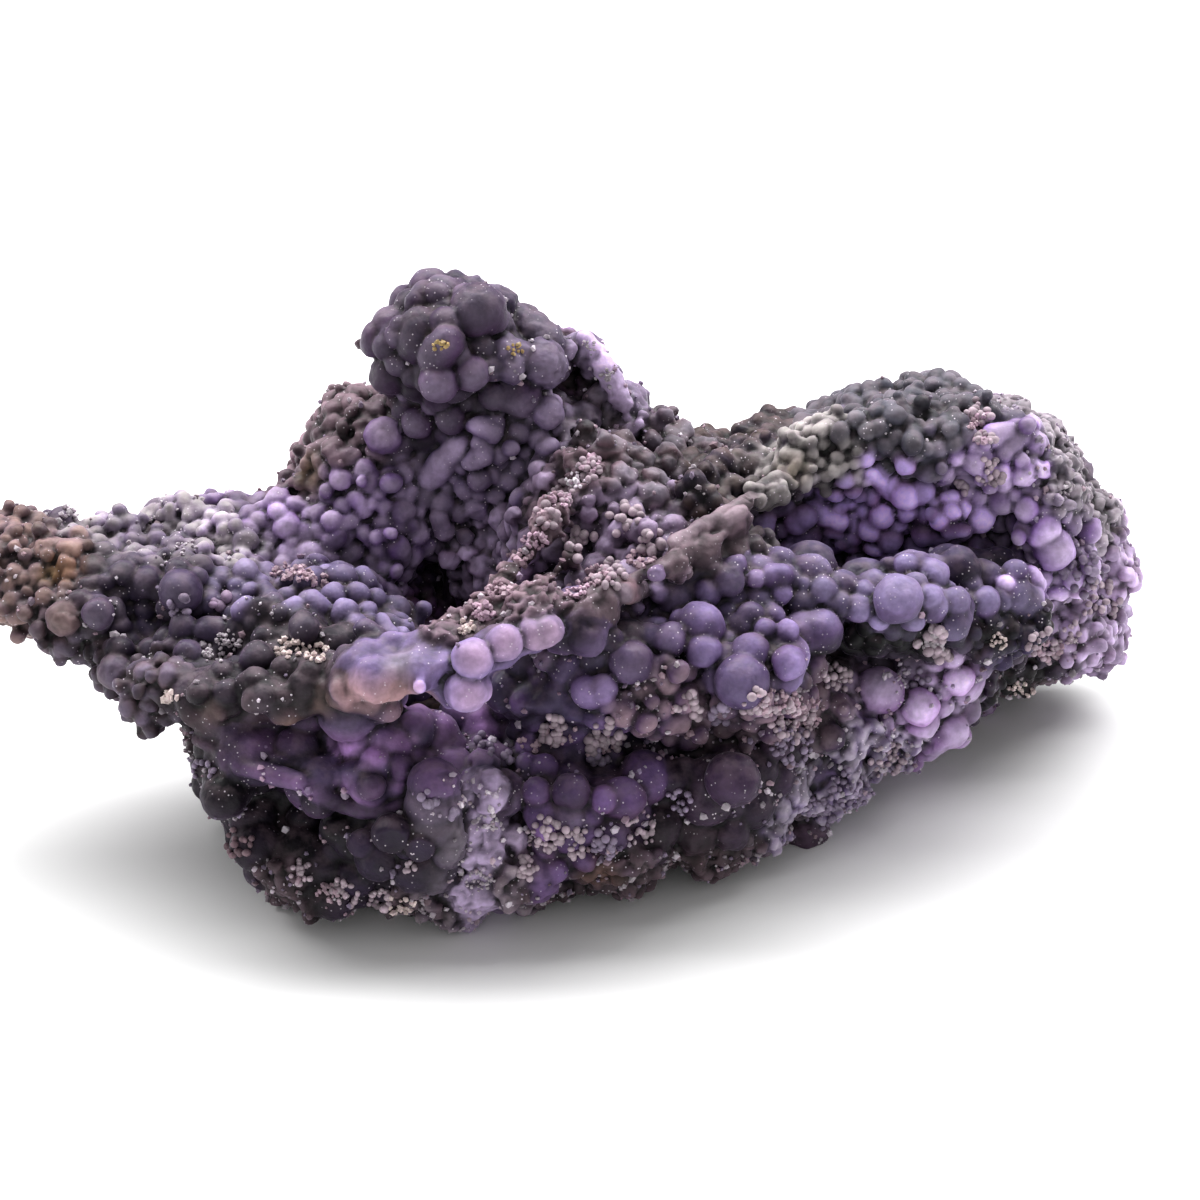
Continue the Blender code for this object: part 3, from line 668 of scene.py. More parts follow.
# The grapes that the photo shows one by one, by area: X, Y and radius in pixels.
PHOTO_GRAPES = {
    "peak": (
        (451, 419, 16), (495, 395, 16), (438, 383, 20), (471, 373, 19), (483, 348, 14),
        (438, 295, 14), (413, 308, 20), (478, 310, 28), (446, 325, 18), (396, 336, 12),
        (398, 363, 13), (413, 376, 12), (423, 320, 6), (386, 461, 9), (416, 466, 10),
        (381, 436, 16), (418, 423, 16), (426, 495, 14), (461, 512, 12), (489, 516, 8),
        (479, 479, 12), (458, 356, 12), (404, 395, 9), (431, 405, 11), (466, 402, 10),
        (474, 425, 9), (400, 325, 10), (462, 295, 12), (495, 318, 14),
    ),
    "peak_right": (
        (524, 325, 22), (511, 368, 15), (542, 363, 25), (548, 413, 17), (584, 419, 18),
        (519, 433, 12), (536, 462, 12), (548, 335, 13), (505, 342, 11), (565, 350, 12),
    ),
    "slope": (
        (270, 541, 13.5), (288, 527, 15), (310, 515, 8), (328, 536, 6), (377, 537, 8),
        (364, 532, 9), (372, 503, 8), (384, 435, 18), (250, 509, 12), (260, 501, 10),
        (278, 513, 10), (341, 479, 12), (228, 486, 6), (311, 557, 18), (296, 558, 11),
        (326, 559, 10),
    ),
    "shoulder": (
        (346, 425, 8), (394, 406, 8), (352, 403, 10), (329, 408, 8), (319, 416, 6),
        (309, 441, 11), (323, 454, 7),
    ),
    "slope_foot": (
        (246, 571, 13), (412, 579, 11), (427, 580, 11), (367, 610, 10), (353, 621, 9),
        (396, 610, 15),
    ),
    "buttress": (
        (468, 553, 10), (429, 550, 8), (512, 538, 12), (620, 528, 11), (585, 548, 11),
        (645, 526, 10), (587, 511, 10),
    ),
    "saddle": (
        (711, 490, 6), (755, 546, 11), (780, 529, 9), (756, 520, 7), (757, 533, 8),
    ),
    "wing": (
        (181, 591, 22), (187, 566, 14), (171, 609, 15), (106, 583, 10), (88, 587, 11),
        (98, 585, 11), (98, 614, 16), (123, 573, 13), (103, 556, 15), (194, 622, 11),
        (220, 603, 6), (224, 624, 8), (201, 631, 8), (250, 659, 12), (244, 541, 14),
    ),
    "wing_tip": (
        (65, 617, 18), (23, 579, 9), (27, 533, 11), (8, 540, 9), (46, 551, 13), (70, 551, 13),
        (78, 536, 11),
    ),
    "wing_top": (
        (131, 501, 9), (124, 508, 6), (146, 515, 8), (94, 528, 13), (229, 485, 6),
        (227, 508, 10), (225, 529, 8), (198, 525, 6), (212, 517, 8),
    ),
    "wing_foot": ((116, 671, 18), (146, 674, 12), (169, 676, 13)),
    "rim_left": ((345, 638, 16), (304, 629, 17), (337, 644, 19), (258, 657, 16)),
    "rim": (
        (504, 641, 17), (533, 633, 15), (547, 629, 14), (466, 691, 21), (473, 659, 21),
        (420, 686, 7), (546, 656, 15), (413, 739, 7),
    ),
    "centre": (
        (656, 573, 10), (650, 638, 16), (669, 639, 18), (598, 656, 20), (603, 689, 16),
        (588, 692, 17), (631, 662, 23), (750, 653, 21), (789, 662, 18), (787, 633, 13),
        (751, 616, 15), (726, 614, 13), (708, 593, 15), (742, 682, 28), (703, 651, 18),
        (781, 593, 11.5), (756, 578, 10), (737, 565, 10), (638, 608, 7), (623, 619, 7),
        (659, 591, 12), (803, 546, 11.5), (765, 630, 12), (725, 640, 12), (680, 618, 10),
    ),
    "under_arch": (
        (865, 458, 10), (899, 524, 9.5), (918, 546, 15), (942, 531, 12), (951, 512, 10),
        (974, 506, 5), (979, 516, 16), (818, 551, 5), (831, 533, 23), (866, 511, 12),
        (881, 516, 13), (893, 486, 13), (906, 496, 15), (922, 491, 15), (874, 547, 11),
        (850, 500, 12), (905, 465, 11), (935, 505, 9), (845, 480, 10),
    ),
    "ledge": (
        (859, 609, 15), (844, 615, 9), (898, 599, 25), (929, 597, 14), (954, 602, 16),
        (985, 602, 16), (931, 576, 18), (906, 566, 13), (881, 566, 15), (863, 591, 12),
        (823, 589, 15), (852, 562, 8), (803, 584, 8), (913, 620, 12), (880, 618, 11),
        (842, 585, 11), (970, 585, 12),
    ),
    "hump_face": (
        (1054, 549, 21), (1034, 554, 10), (1018, 557, 8), (996, 566, 7.5), (984, 554, 8),
        (978, 566, 10), (1034, 597, 11), (1006, 584, 10), (1055, 601, 6), (1023, 474, 13),
        (1041, 469, 10),
    ),
    "crest": ((1003, 415, 7),),
    "base": (
        (304, 820, 18), (362, 843, 15), (392, 833, 20), (372, 787, 14), (400, 767, 14),
        (429, 768, 11), (420, 850, 14), (335, 850, 13),
    ),
    "base_middle": (
        (572, 792, 20), (537, 792, 15), (555, 869, 14), (585, 861, 12), (514, 838, 15),
        (605, 800, 14), (545, 830, 12), (590, 830, 13),
    ),
    "base_right": ((733, 780, 28), (774, 741, 20), (730, 830, 20), (807, 828, 23)),
    "lower_right": (
        (880, 691, 24), (920, 707, 19), (958, 679, 17), (955, 736, 19), (984, 704, 12),
        (952, 656, 13), (940, 690, 12),
    ),
}

CORE_GRID = 1.2 * MM
STONE_GRID = 0.8 * MM
LOBE_STEPS = 4
RIDGE_STEPS = 6
RIDGE_ROUND_STEPS = 3
RIDGE_ORDER = 3
UNEVEN = 3.0 * MM
UNEVEN_SPAN = 11 * MM
UNEVEN_DETAIL = 1
UNEVEN_LEVEL = 0.3
EASE_STEPS = 6

# Directions in which to look for other parts of the stone, and how far.
OPEN_DIRECTIONS = [
    Vector((math.sin(lean) * math.cos(turn), math.sin(lean) * math.sin(turn), math.cos(lean)))
    for lean in (0.35, 0.8, 1.15)
    for turn in (0.3, 1.35, 2.4, 3.44, 4.5, 5.5)
]
OPEN_REACH = 16 * MM

SEED = 12
RISE = 0.45
TRIES = 60000
CLUMP_SPAN = 6.5 * MM
CLUMP_HEIGHT = 3.0 * MM
SPACING = 0.6
MERGE_LEAST = 0.9 * MM
MERGE_SHARE = 0.4


def colour(name):
    """A named colour in the linear values that shaders take."""
    screen = np.array(COLOURS[name]) / 255
    return np.where(screen <= 0.04045, screen / 12.92, ((screen + 0.055) / 1.055) ** 2.4)


def new_object(name, mesh):
    made = bpy.data.objects.new(name, mesh)
    bpy.context.scene.collection.objects.link(made)
    return made


def evaluated_mesh(thing):
    bpy.context.view_layer.update()
    graph = bpy.context.evaluated_depsgraph_get()
    return bpy.data.meshes.new_from_object(thing.evaluated_get(graph))


def lobes_build(lobes):
    build = bmesh.new()
    for centre, half_sizes, turn in lobes.values():
        angles = Euler([math.radians(angle) for angle in turn])
        place = Matrix.LocRotScale(Vector(centre) * MM, angles, Vector(half_sizes) * MM)
        bmesh.ops.create_icosphere(build, subdivisions=LOBE_STEPS, radius=1, matrix=place)
    return build


def ridge_mesh(name, points):
    """A closed tube along the points, as thick as each says."""
    curve = bpy.data.curves.new(name, "CURVE")
    curve.dimensions = "3D"
    curve.resolution_u = RIDGE_STEPS
    curve.bevel_depth = MM
    curve.bevel_resolution = RIDGE_ROUND_STEPS
    curve.use_fill_caps = True
    line = curve.splines.new("NURBS")
    line.points.add(len(points) - 1)
    for point, (x, y, z, half) in zip(line.points, points):
        point.co = (x * MM, y * MM, z * MM, 1)
        point.radius = half
    line.use_endpoint_u = True
    line.order_u = RIDGE_ORDER
    guide = new_object(name, curve)
    mesh = evaluated_mesh(guide)
    bpy.data.objects.remove(guide)
    return mesh


def add_remesh(thing, name, grid):
    step = thing.modifiers.new(name, "REMESH")
    step.mode = "VOXEL"
    step.voxel_size = grid


def core_mesh():
    """The stone without its grapes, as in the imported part, on a finer grid."""
    build = lobes_build(LOBES)
    for name, points in RIDGES.items():
        mesh = ridge_mesh(name, points)
        build.from_mesh(mesh)
        bpy.data.meshes.remove(mesh)
    mesh = bpy.data.meshes.new("core")
    build.to_mesh(mesh)
    build.free()
    core = new_object("core", mesh)
    add_remesh(core, "Join", CORE_GRID)
    pits = bpy.data.meshes.new("pits")
    lobes_build(PITS).to_mesh(pits)
    cutter = new_object("pits", pits)
    difference = core.modifiers.new("Pits", "BOOLEAN")
    difference.operation = "DIFFERENCE"
    difference.solver = "EXACT"
    difference.use_self = True
    difference.object = cutter
    add_remesh(core, "Even grid", CORE_GRID)
    clouds = bpy.data.textures.new("Uneven", "CLOUDS")
    clouds.noise_scale = UNEVEN_SPAN
    clouds.noise_depth = UNEVEN_DETAIL
    uneven = core.modifiers.new("Uneven", "DISPLACE")
    uneven.texture = clouds
    uneven.strength = UNEVEN
    uneven.mid_level = UNEVEN_LEVEL
    ease = core.modifiers.new("Ease", "SMOOTH")
    ease.iterations = EASE_STEPS
    add_remesh(core, "Fine grid", STONE_GRID)
    again = core.modifiers.new("Ease again", "SMOOTH")
    again.iterations = 2
    mesh = evaluated_mesh(core)
    bpy.data.objects.remove(core)
    bpy.data.objects.remove(cutter)
    return mesh


def swollen(core, stone):
    """The stone with its swellings and hollows, and uneven all over."""
    points = points_of(core)
    moves = np.zeros_like(points)
    for photo_x, photo_y, size, height in SWELLS:
        place, normal = stone.seen(photo_x, photo_y)
        way = (normal - sight_line(photo_x, photo_y)[1]).normalized()
        gaps = np.linalg.norm(points - np.array(place), axis=1) / (size * PIXEL * 1.3)
        share = np.clip(1 - gaps**2, 0, 1) ** 2
        moves += share[:, None] * np.array(way) * height * MM
    normals = normals_of(core)
    clumps = [clump(point) for point in points]
    moves += normals * np.array(clumps)[:, None] * CLUMP_HEIGHT
    points += moves
    core.vertices.foreach_set("co", points.astype(np.float32).ravel())
    core.update()


def camera_axes():
    """The direction from the stone to the camera, and up in the photo."""
    back = Vector((0, -math.cos(CAMERA_RISE), math.sin(CAMERA_RISE)))
    up = Vector((0, math.sin(CAMERA_RISE), math.cos(CAMERA_RISE)))
    return back, up


def sight_line(photo_x, photo_y):
    """The camera's place and the direction in which it sees this point of the photo."""
    back, up = camera_axes()
    right = (photo_x - PHOTO_MIDDLE) * PIXEL
    rise = (PHOTO_MIDDLE - photo_y) * PIXEL
    sight = Vector((right, 0, 0)) + up * rise - back * CAMERA_AWAY
    return LOOK_AT + back * CAMERA_AWAY, sight.normalized()


class Stone:
    """The stone's surface, to place things on."""

    def __init__(self, mesh):
        build = bmesh.new()
        build.from_mesh(mesh)
        self.tree = BVHTree.FromBMesh(build)
        build.free()

    def seen(self, photo_x, photo_y):
        """Point and normal that the photo shows there, or the nearest one beside the line."""
        camera, sight = sight_line(photo_x, photo_y)
        point, normal = self.tree.ray_cast(camera, sight)[:2]
        if point:
            return point, normal
        reach = range(-SEARCH_REACH, SEARCH_REACH + 1)
        steps = [camera + sight * (CAMERA_AWAY + step * MM) for step in reach]
        nearest = min(steps, key=lambda step: self.tree.find_nearest(step)[3])
        return self.tree.find_nearest(nearest)[:2]

    def openness(self, point, way):
        """How much of the sky over a point is free of other parts of the stone."""
        turn = Vector(way).to_track_quat("Z", "Y")
        free = 0
        for direction in OPEN_DIRECTIONS:
            hit = self.tree.ray_cast(Vector(point), turn @ direction, OPEN_REACH)[0]
            free += hit is None
        return free / len(OPEN_DIRECTIONS)


def clump(point):
    """How high a place is within the clusters that the stone grew in, from -1 to 1."""
    point = Vector(point)
    wide = noise.noise(point / CLUMP_SPAN + Vector((4, 4, 4)))
    fine = noise.noise(point / (CLUMP_SPAN * 0.45) + Vector((1, 7, 3)))
    return wide + 0.5 * fine


class Zones:
    """Which area of the stone a point is in."""

    BLEND = 1.6 * MM

    def __init__(self, stone):
        self.names = []
        places = []
        for name, zone in ZONES.items():
            found = [stone.seen(x, y)[0] for x, y in zone.get("at", ())]
            found += [Vector(place) * MM for place in zone.get("places", ())]
            places += found
            self.names += [name] * len(found)
        self.tree = KDTree(len(places))
        for index, place in enumerate(places):
            self.tree.insert(place, index)
        self.tree.balance()

    def mix(self, point):
        """The areas about a point, each with its share."""
        found = self.tree.find_n(point, 5)
        shares = {}
        for place, index, gap in found:
            name = self.names[index]
            share = math.exp((found[0][2] - gap) / self.BLEND)
            shares[name] = shares.get(name, 0) + share
        whole = sum(shares.values())
        return [(name, share / whole) for name, share in shares.items()]

    def at(self, point):
        drift = noise.noise_vector(point / (6 * MM)) * 2.5 * MM
        return self.names[self.tree.find(point + drift)[1]]


class Spread:
    """The spheres placed so far, in cells, to tell whether one more fits between them."""

    CELL = 3 * MM
    REACH = 2.6 * MM

    def __init__(self):
        self.cells = {}

    def add(self, centre, radius):
        reach = radius + self.REACH
        low = [math.floor((value - reach) / self.CELL) for value in centre]
        high = [math.floor((value + reach) / self.CELL) for value in centre]
        for i in range(low[0], high[0] + 1):
            for j in range(low[1], high[1] + 1):
                for k in range(low[2], high[2] + 1):
                    self.cells.setdefault((i, j, k), []).append((*centre, radius))

    def fits(self, centre, radius, spacing):
        x, y, z = centre
        key = (math.floor(x / self.CELL), math.floor(y / self.CELL), math.floor(z / self.CELL))
        for px, py, pz, other in self.cells.get(key, ()):
            gap = (px - x) ** 2 + (py - y) ** 2 + (pz - z) ** 2
            if gap < (spacing * (radius + other)) ** 2:
                return False
        return True


class Grapes:
    """All the grapes: centre, radius, the way they grow and their area."""

    def __init__(self, low, high):
        self.centres = []
        self.radii = []
        self.ways = []
        self.zones = []
        self.shown = []
        self.spread = Spread()
        self.low = low
        self.high = high

    def inside(self, centre, radius):
        """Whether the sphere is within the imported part's box."""
        return all(
            low + radius <= value <= high - radius
            for value, low, high in zip(centre, self.low, self.high)
        )

    def add(self, centre, radius, way, zone, shown=False):
        self.centres.append(tuple(centre))
        self.radii.append(radius)
        self.ways.append(tuple(way))
        self.zones.append(zone)
        self.shown.append(shown)
        self.spread.add(tuple(centre), radius)


def place_photo_grapes(grapes, stone, chance):
    for zone, rows in PHOTO_GRAPES.items():
        for photo_x, photo_y, size in rows:
            camera, sight = sight_line(photo_x, photo_y)
            point, normal = stone.seen(photo_x, photo_y)
            away = (point - camera).length
            radius = size * PIXEL * away / CAMERA_AWAY
            centre = point - sight * radius * RISE
            way = (normal - sight).normalized()
            grapes.add(centre, radius, way, zone, True)


def place_stalks(grapes, stone):
    """Rows of close spheres, from one end of each stalk to the other."""
    for first_x, first_y, last_x, last_y, size, zone in STALKS:
        first, first_way = stone.seen(first_x, first_y)
        last, last_way = stone.seen(last_x, last_y)
        radius = size * PIXEL
        steps = max(2, math.ceil((last - first).length / (radius * 0.35)))
        for step in range(steps + 1):
            share = step / steps
            way = first_way.lerp(last_way, share).normalized()
            sight = sight_line(first_x, first_y)[1]
            centre = first.lerp(last, share) - sight * radius * 0.15
            grapes.add(centre, radius * (1 - 0.2 * abs(share - 0.5)), (way - sight).normalized(), zone, True)


def surface_samples(mesh, chance, count):
    """Random points of the surface with their normals."""
    faces = list(mesh.polygons)
    chosen = chance.choices(faces, [face.area for face in faces], k=count)
    for face in chosen:
        corners = [mesh.vertices[index].co for index in face.vertices]
        first = corners[0].lerp(corners[1], chance.random())
        second = corners[-1].lerp(corners[-2], chance.random())
        yield first.lerp(second, chance.random()), face.normal


def scatter(grapes, mesh, zones, chance):
    """Grapes all over, as large and as close as each area has them, some on top of others."""
    carriers = []
    for number, (point, normal) in enumerate(surface_samples(mesh, chance, TRIES)):
        largest = 1 - 0.7 * min(1, 1.6 * number / TRIES)
        name = zones.at(point)
        zone = ZONES[name]
        bare = 0.5 + 0.5 * noise.noise(point / (4 * MM) + Vector((7, 3, 1)))
        if bare > zone["cover"]:
            continue
        least, most = zone["grapes"]
        radius = (least + (most - least) * largest * chance.uniform(0.5, 1)) * MM
        centre = point + normal * radius * chance.uniform(*zone.get("rise", (-0.1, 0.45)))
        if not grapes.inside(centre, radius):
            continue
        if not grapes.spread.fits(centre, radius, zone.get("spacing", SPACING)):
            continue
        grapes.add(centre, radius, normal, name)
        carriers.append(len(grapes.radii) - 1)
        if radius < MERGE_LEAST or chance.random() > MERGE_SHARE:
            continue
        lean = Vector([chance.gauss(0, 1) for axis in range(3)])
        along = (lean - normal * lean.dot(normal) * 0.6).normalized()
        for step in range(chance.choice((1, 1, 2))):
            centre = centre + along * radius * chance.uniform(0.55, 0.8)
            radius *= chance.uniform(0.8, 0.98)
            if grapes.inside(centre, radius):
                grapes.add(centre, radius, normal, name)
    for index in carriers:
        zone = ZONES[grapes.zones[index]]
        if chance.random() > zone["pile"]:
            continue
        least, most = zone["grapes"]
        radius = chance.uniform(least * 0.9, (least + most) / 2) * MM
        lean = Vector([chance.gauss(0, 0.45) for axis in range(3)])
        way = (Vector(grapes.ways[index]) + lean).normalized()
        below = grapes.radii[index]
        centre = Vector(grapes.centres[index]) + way * (below + radius) * 0.75
        if grapes.inside(centre, radius) and grapes.spread.fits(centre, radius, 0.65):
            grapes.add(centre, radius, way, grapes.zones[index])


def icosphere(parts):
    """Points and triangles of a sphere of radius 1, each face of an icosahedron in parts²."""
    golden = (1 + math.sqrt(5)) / 2
    corners = []
    for a in (-1, 1):
        for b in (-golden, golden):
            corners += [(0, a, b), (a, b, 0), (b, 0, a)]
    corners = np.array(corners, float)
    sides = []
    for i in range(12):
        for j in range(i + 1, 12):
            for k in range(j + 1, 12):
                trio = corners[[i, j, k]]
                spans = [np.linalg.norm(trio[a] - trio[b]) for a, b in ((0, 1), (1, 2), (2, 0))]
                if max(spans) < 2.01:
                    turn = np.dot(np.cross(trio[1] - trio[0], trio[2] - trio[0]), trio[0])
                    sides.append((i, j, k) if turn > 0 else (i, k, j))
    points = []
    index = {}
    faces = []

    def number(point):
        point = point / np.linalg.norm(point)
        key = tuple(np.round(point, 5) + 0.0)
        if key not in index:
            index[key] = len(points)
            points.append(point)
        return index[key]

    for i, j, k in sides:
        a, b, c = corners[[i, j, k]]
        grid = {}
        for u in range(parts + 1):
            for v in range(parts + 1 - u):
                grid[u, v] = number(a + (b - a) * u / parts + (c - a) * v / parts)
        for u in range(parts):
            for v in range(parts - u):
                faces.append((grid[u, v], grid[u + 1, v], grid[u, v + 1]))
                if u + v < parts - 1:
                    faces.append((grid[u + 1, v], grid[u + 1, v + 1], grid[u, v + 1]))
    return np.array(points), np.array(faces)

# The joined surface: its grid, how softly the grapes meet, how far they are looked for, and how
# uneven it is, fine and coarse.
SKIN_GRID = 0.445 * MM
JOIN_SOFTNESS = 0.13 * MM
TINT_SOFTNESS = 0.3 * MM
JOIN_REACH = 0.9 * MM
JOIN_STEPS = 3
WARP = 0.3 * MM
WARP_SPAN = 2.6 * MM
ROUGH_WARP = 0.45 * MM
ROUGH_SPAN = 1.1 * MM
COARSE_LIMIT = 1.5 * MM
TONE = 0.5
SATURATION = 1.15
# Painted shade: how much darker the hollow colour of every area is made.
LOW_PAINTED_SHADE = 0.22
# Painted highlight: how much lighter the top colour of every area is made.
TOP_PAINTED_HIGHLIGHT = 1.35
CLUSTER_TONE = 0.9
CRYSTAL_TRIES = 24000
GRAIN_CORNERS = (
    (0, 0, 1.1), (0.9, 0, 0.35), (0.28, 0.86, 0.35), (-0.73, 0.53, 0.35), (-0.73, -0.53, 0.35),
    (0.28, -0.86, 0.35), (0.5, 0.5, -0.7), (-0.6, 0.3, -0.7), (0.1, -0.65, -0.7),
)
GRAIN_FACES = (
    (0, 1, 2), (0, 2, 3), (0, 3, 4), (0, 4, 5), (0, 5, 1), (1, 6, 2), (2, 7, 3), (3, 7, 4),
    (4, 8, 5), (5, 8, 1), (1, 8, 6), (2, 6, 7), (4, 7, 8), (6, 8, 7),
)
PIECES = ("stone_left", "stone_inner_left", "stone_middle", "stone_inner_right", "stone_right")


def triangles_of(mesh):
    mesh.calc_loop_triangles()
    faces = np.empty(len(mesh.loop_triangles) * 3, np.int32)
    mesh.loop_triangles.foreach_get("vertices", faces)
    return faces.reshape(-1, 3)


def points_of(mesh):
    points = np.empty(len(mesh.vertices) * 3, np.float32)
    mesh.vertices.foreach_get("co", points)
    return points.reshape(-1, 3).astype(float)


def normals_of(mesh):
    normals = np.empty(len(mesh.vertices) * 3, np.float32)
    mesh.vertices.foreach_get("normal", normals)
    return normals.reshape(-1, 3).astype(float)


def joined_surface(core, grapes):
    """One surface around the stone and all its grapes, on the fine grid."""
    points = [points_of(core)]
    faces = [triangles_of(core)]
    count = len(points[0])
    centres = np.array(grapes.centres)
    radii = np.array(grapes.radii)
    for parts, chosen in ((2, radii < COARSE_LIMIT), (3, radii >= COARSE_LIMIT)):
        sphere, sides = icosphere(parts)
        placed = sphere * radii[chosen][:, None, None] + centres[chosen][:, None]
        shift = count + len(sphere) * np.arange(len(placed))
        points.append(placed.reshape(-1, 3))
        faces.append((sides + shift[:, None, None]).reshape(-1, 3))
        count += placed.shape[0] * placed.shape[1]
    mesh = bpy.data.meshes.new("joined")
    mesh.from_pydata(np.vstack(points), [], np.vstack(faces))
    joined = new_object("joined", mesh)
    add_remesh(joined, "Join", SKIN_GRID)
    made = evaluated_mesh(joined)
    bpy.data.objects.remove(joined)
    return made


class Joins:
    """Which grapes each point of the joined surface is near, to follow their round shapes."""

    def __init__(self, points, grapes, core):
        tree = KDTree(len(points))
        for index, point in enumerate(points):
            tree.insert(point, index)
        tree.balance()
        near, which = [], []
        for number, (centre, radius) in enumerate(zip(grapes.centres, grapes.radii)):
            found = [index for place, index, gap in tree.find_range(centre, radius + JOIN_REACH)]
            near += found
            which += [number] * len(found)
        self.near = np.array(near)
        self.which = np.array(which)
        self.centres = np.array(grapes.centres)
        self.radii = np.array(grapes.radii)
        self.core = core
        self.count = len(points)

    def total(self, values):
        return np.bincount(self.near, values, self.count)

    def gaps(self, points):
        """How far each near point is outside its grape, and in which direction."""
        away = points[self.near] - self.centres[self.which]
        length = np.linalg.norm(away, axis=1)
        return length - self.radii[self.which], away / length[:, None]

    def core_gaps(self, points):
        gaps = np.empty(len(points))
        ways = np.empty((len(points), 3))
        for index, point in enumerate(points):
            place, normal = self.core.tree.find_nearest(Vector(point))[:2]
            gaps[index] = (Vector(point) - place).dot(normal)
            ways[index] = normal
        return gaps, ways

    def followed(self, points):
        """The points, moved to the surface that the grapes and the stone softly make together."""
        core_gaps, core_ways = self.core_gaps(points)
        for step in range(JOIN_STEPS):
            gaps, ways = self.gaps(points)
            weights = np.exp(np.clip(-gaps / JOIN_SOFTNESS, -30, 30))
            core_weights = np.exp(np.clip(-core_gaps / JOIN_SOFTNESS, -30, 30))
            whole = self.total(weights) + core_weights
            slope = np.stack([self.total(weights * ways[:, axis]) for axis in range(3)], axis=1)
            slope = (slope + core_ways * core_weights[:, None]) / whole[:, None]
            out = -JOIN_SOFTNESS * np.log(whole)
            steep = np.maximum((slope**2).sum(axis=1), 0.3)
            move = np.clip(-out / steep, -0.3 * MM, 0.3 * MM)[:, None] * slope
            points = points + move
            core_gaps = core_gaps + (move * core_ways).sum(axis=1)
        return points

    def tinted(self, points, grapes, tints, core_tints):
        """Colours of the points: those of the grapes they are on, and of the stone between.
        Each grape runs from its hollow colour at the base to its top colour at the tip, which paints
        shade below and highlight above over the grape's own hues.
        """
        gaps, ways = self.gaps(points)
        weights = np.exp(np.clip(-np.maximum(gaps, 0) / TINT_SOFTNESS, -30, 0))
        heights = (ways * np.array(grapes.ways)[self.which]).sum(axis=1)
        low, side, top = [tints[self.which, part] for part in range(3)]
        rise = np.clip((heights + 0.7) / 1.0, 0, 1)[:, None]
        tip = np.clip((heights - 0.2) / 0.8, 0, 1)[:, None]
        shades = low + (side - low) * rise
        shades += (top - shades) * tip
        core_weight = 0.02
        whole = self.total(weights) + core_weight
        found = np.stack([self.total(weights * shades[:, part]) for part in range(3)], axis=1)
        return (found + core_tints * core_weight) / whole[:, None]


def noise_moves(points, span, seed):
    """A smooth random direction at each point, changing over the span."""
    shift = Vector((seed, 2 * seed, 3 * seed))
    return np.array([noise.noise_vector(Vector(point) / span + shift) for point in points])


def hollowness(mesh, points, normals):
    """How far each point lies below those around it, as a share of the grid."""
    edges = np.empty(len(mesh.edges) * 2, np.int32)
    mesh.edges.foreach_get("vertices", edges)
    first, second = edges.reshape(-1, 2).T
    count = len(points)
    both = np.concatenate([first, second])
    other = np.concatenate([second, first])
    ring = np.bincount(both, minlength=count)
    mean = np.stack(
        [np.bincount(both, points[other, axis], count) / ring for axis in range(3)], axis=1
    )
    value = ((mean - points) * normals).sum(axis=1) / SKIN_GRID
    for step in range(2):
        value = 0.5 * value + 0.5 * np.bincount(both, value[other], count) / ring
    return value


def grape_tints(grapes, stone, zones, chance):
    """Three colours for each grape, taken from an area near by so that areas run together, and
    darkened as painted shade where little sky is open over the grape and where it lies low in its cluster.
    """
    tints = []
    for index, (centre, zone) in enumerate(zip(grapes.centres, grapes.zones)):
        shown = grapes.shown[index]
        way = Vector(grapes.ways[index])
        open_share = stone.openness(Vector(centre) + way * grapes.radii[index] * 1.5, way)
        # Painted shade: darker where little sky is open over the grape and where it lies low in its cluster.
        painted_hollow_shade = np.clip(0.15 + 0.95 * open_share, 0, 1) * np.clip(1 + 0.9 * clump(centre), 0.35, 1.35)
        mixed = 0.7 * zone_tints(zone)
        for step in range(3):
            drift = Vector([chance.gauss(0, 2.4 * MM) for axis in range(3)])
            mixed += 0.1 * zone_tints(zones.at(Vector(centre) + drift))
        tints.append(mixed * chance.uniform(0.7, 1.3) * painted_hollow_shade * (1.2 if shown else 0.85))
    return np.array(tints)


def zone_tints(name):
    zone = ZONES[name]
    tints = np.array([colour(tint) for tint in zone["tints"]]) * zone["tone"] * TONE
    grey = tints.mean(axis=1, keepdims=True)
    tints = np.maximum(grey + (tints - grey) * SATURATION, 0)
    # Painted shade in the hollow colour, painted highlight in the top colour.
    tints[0] *= LOW_PAINTED_SHADE
    tints[2] *= TOP_PAINTED_HIGHLIGHT
    return tints


def stained_and_painted_light(points, tints, stone):
    """The colours with the stains over them, and the painted shade and highlight that some of them are."""
    for photo_x, photo_y, size, name, strength in STAINS_AND_PAINTED_LIGHT:
        place = np.array(stone.seen(photo_x, photo_y)[0])
        gaps = np.linalg.norm(points - place, axis=1) / (size * PIXEL)
        share = strength * np.clip(1.5 - gaps, 0, 1)[:, None]
        tints = tints + (colour(name) * TONE - tints) * share
    return tints


def grain(size, chance):
    """The corners of a small angular grain about the origin."""
    turn = Euler([chance.uniform(0, 6.28) for axis in range(3)]).to_matrix()
    stretch = [chance.uniform(0.7, 1.3) * size for axis in range(3)]
    corners = []
    for corner in GRAIN_CORNERS:
        long = [value * side * chance.uniform(0.85, 1.15) for value, side in zip(corner, stretch)]
        corners.append(turn @ Vector(long))
    return corners


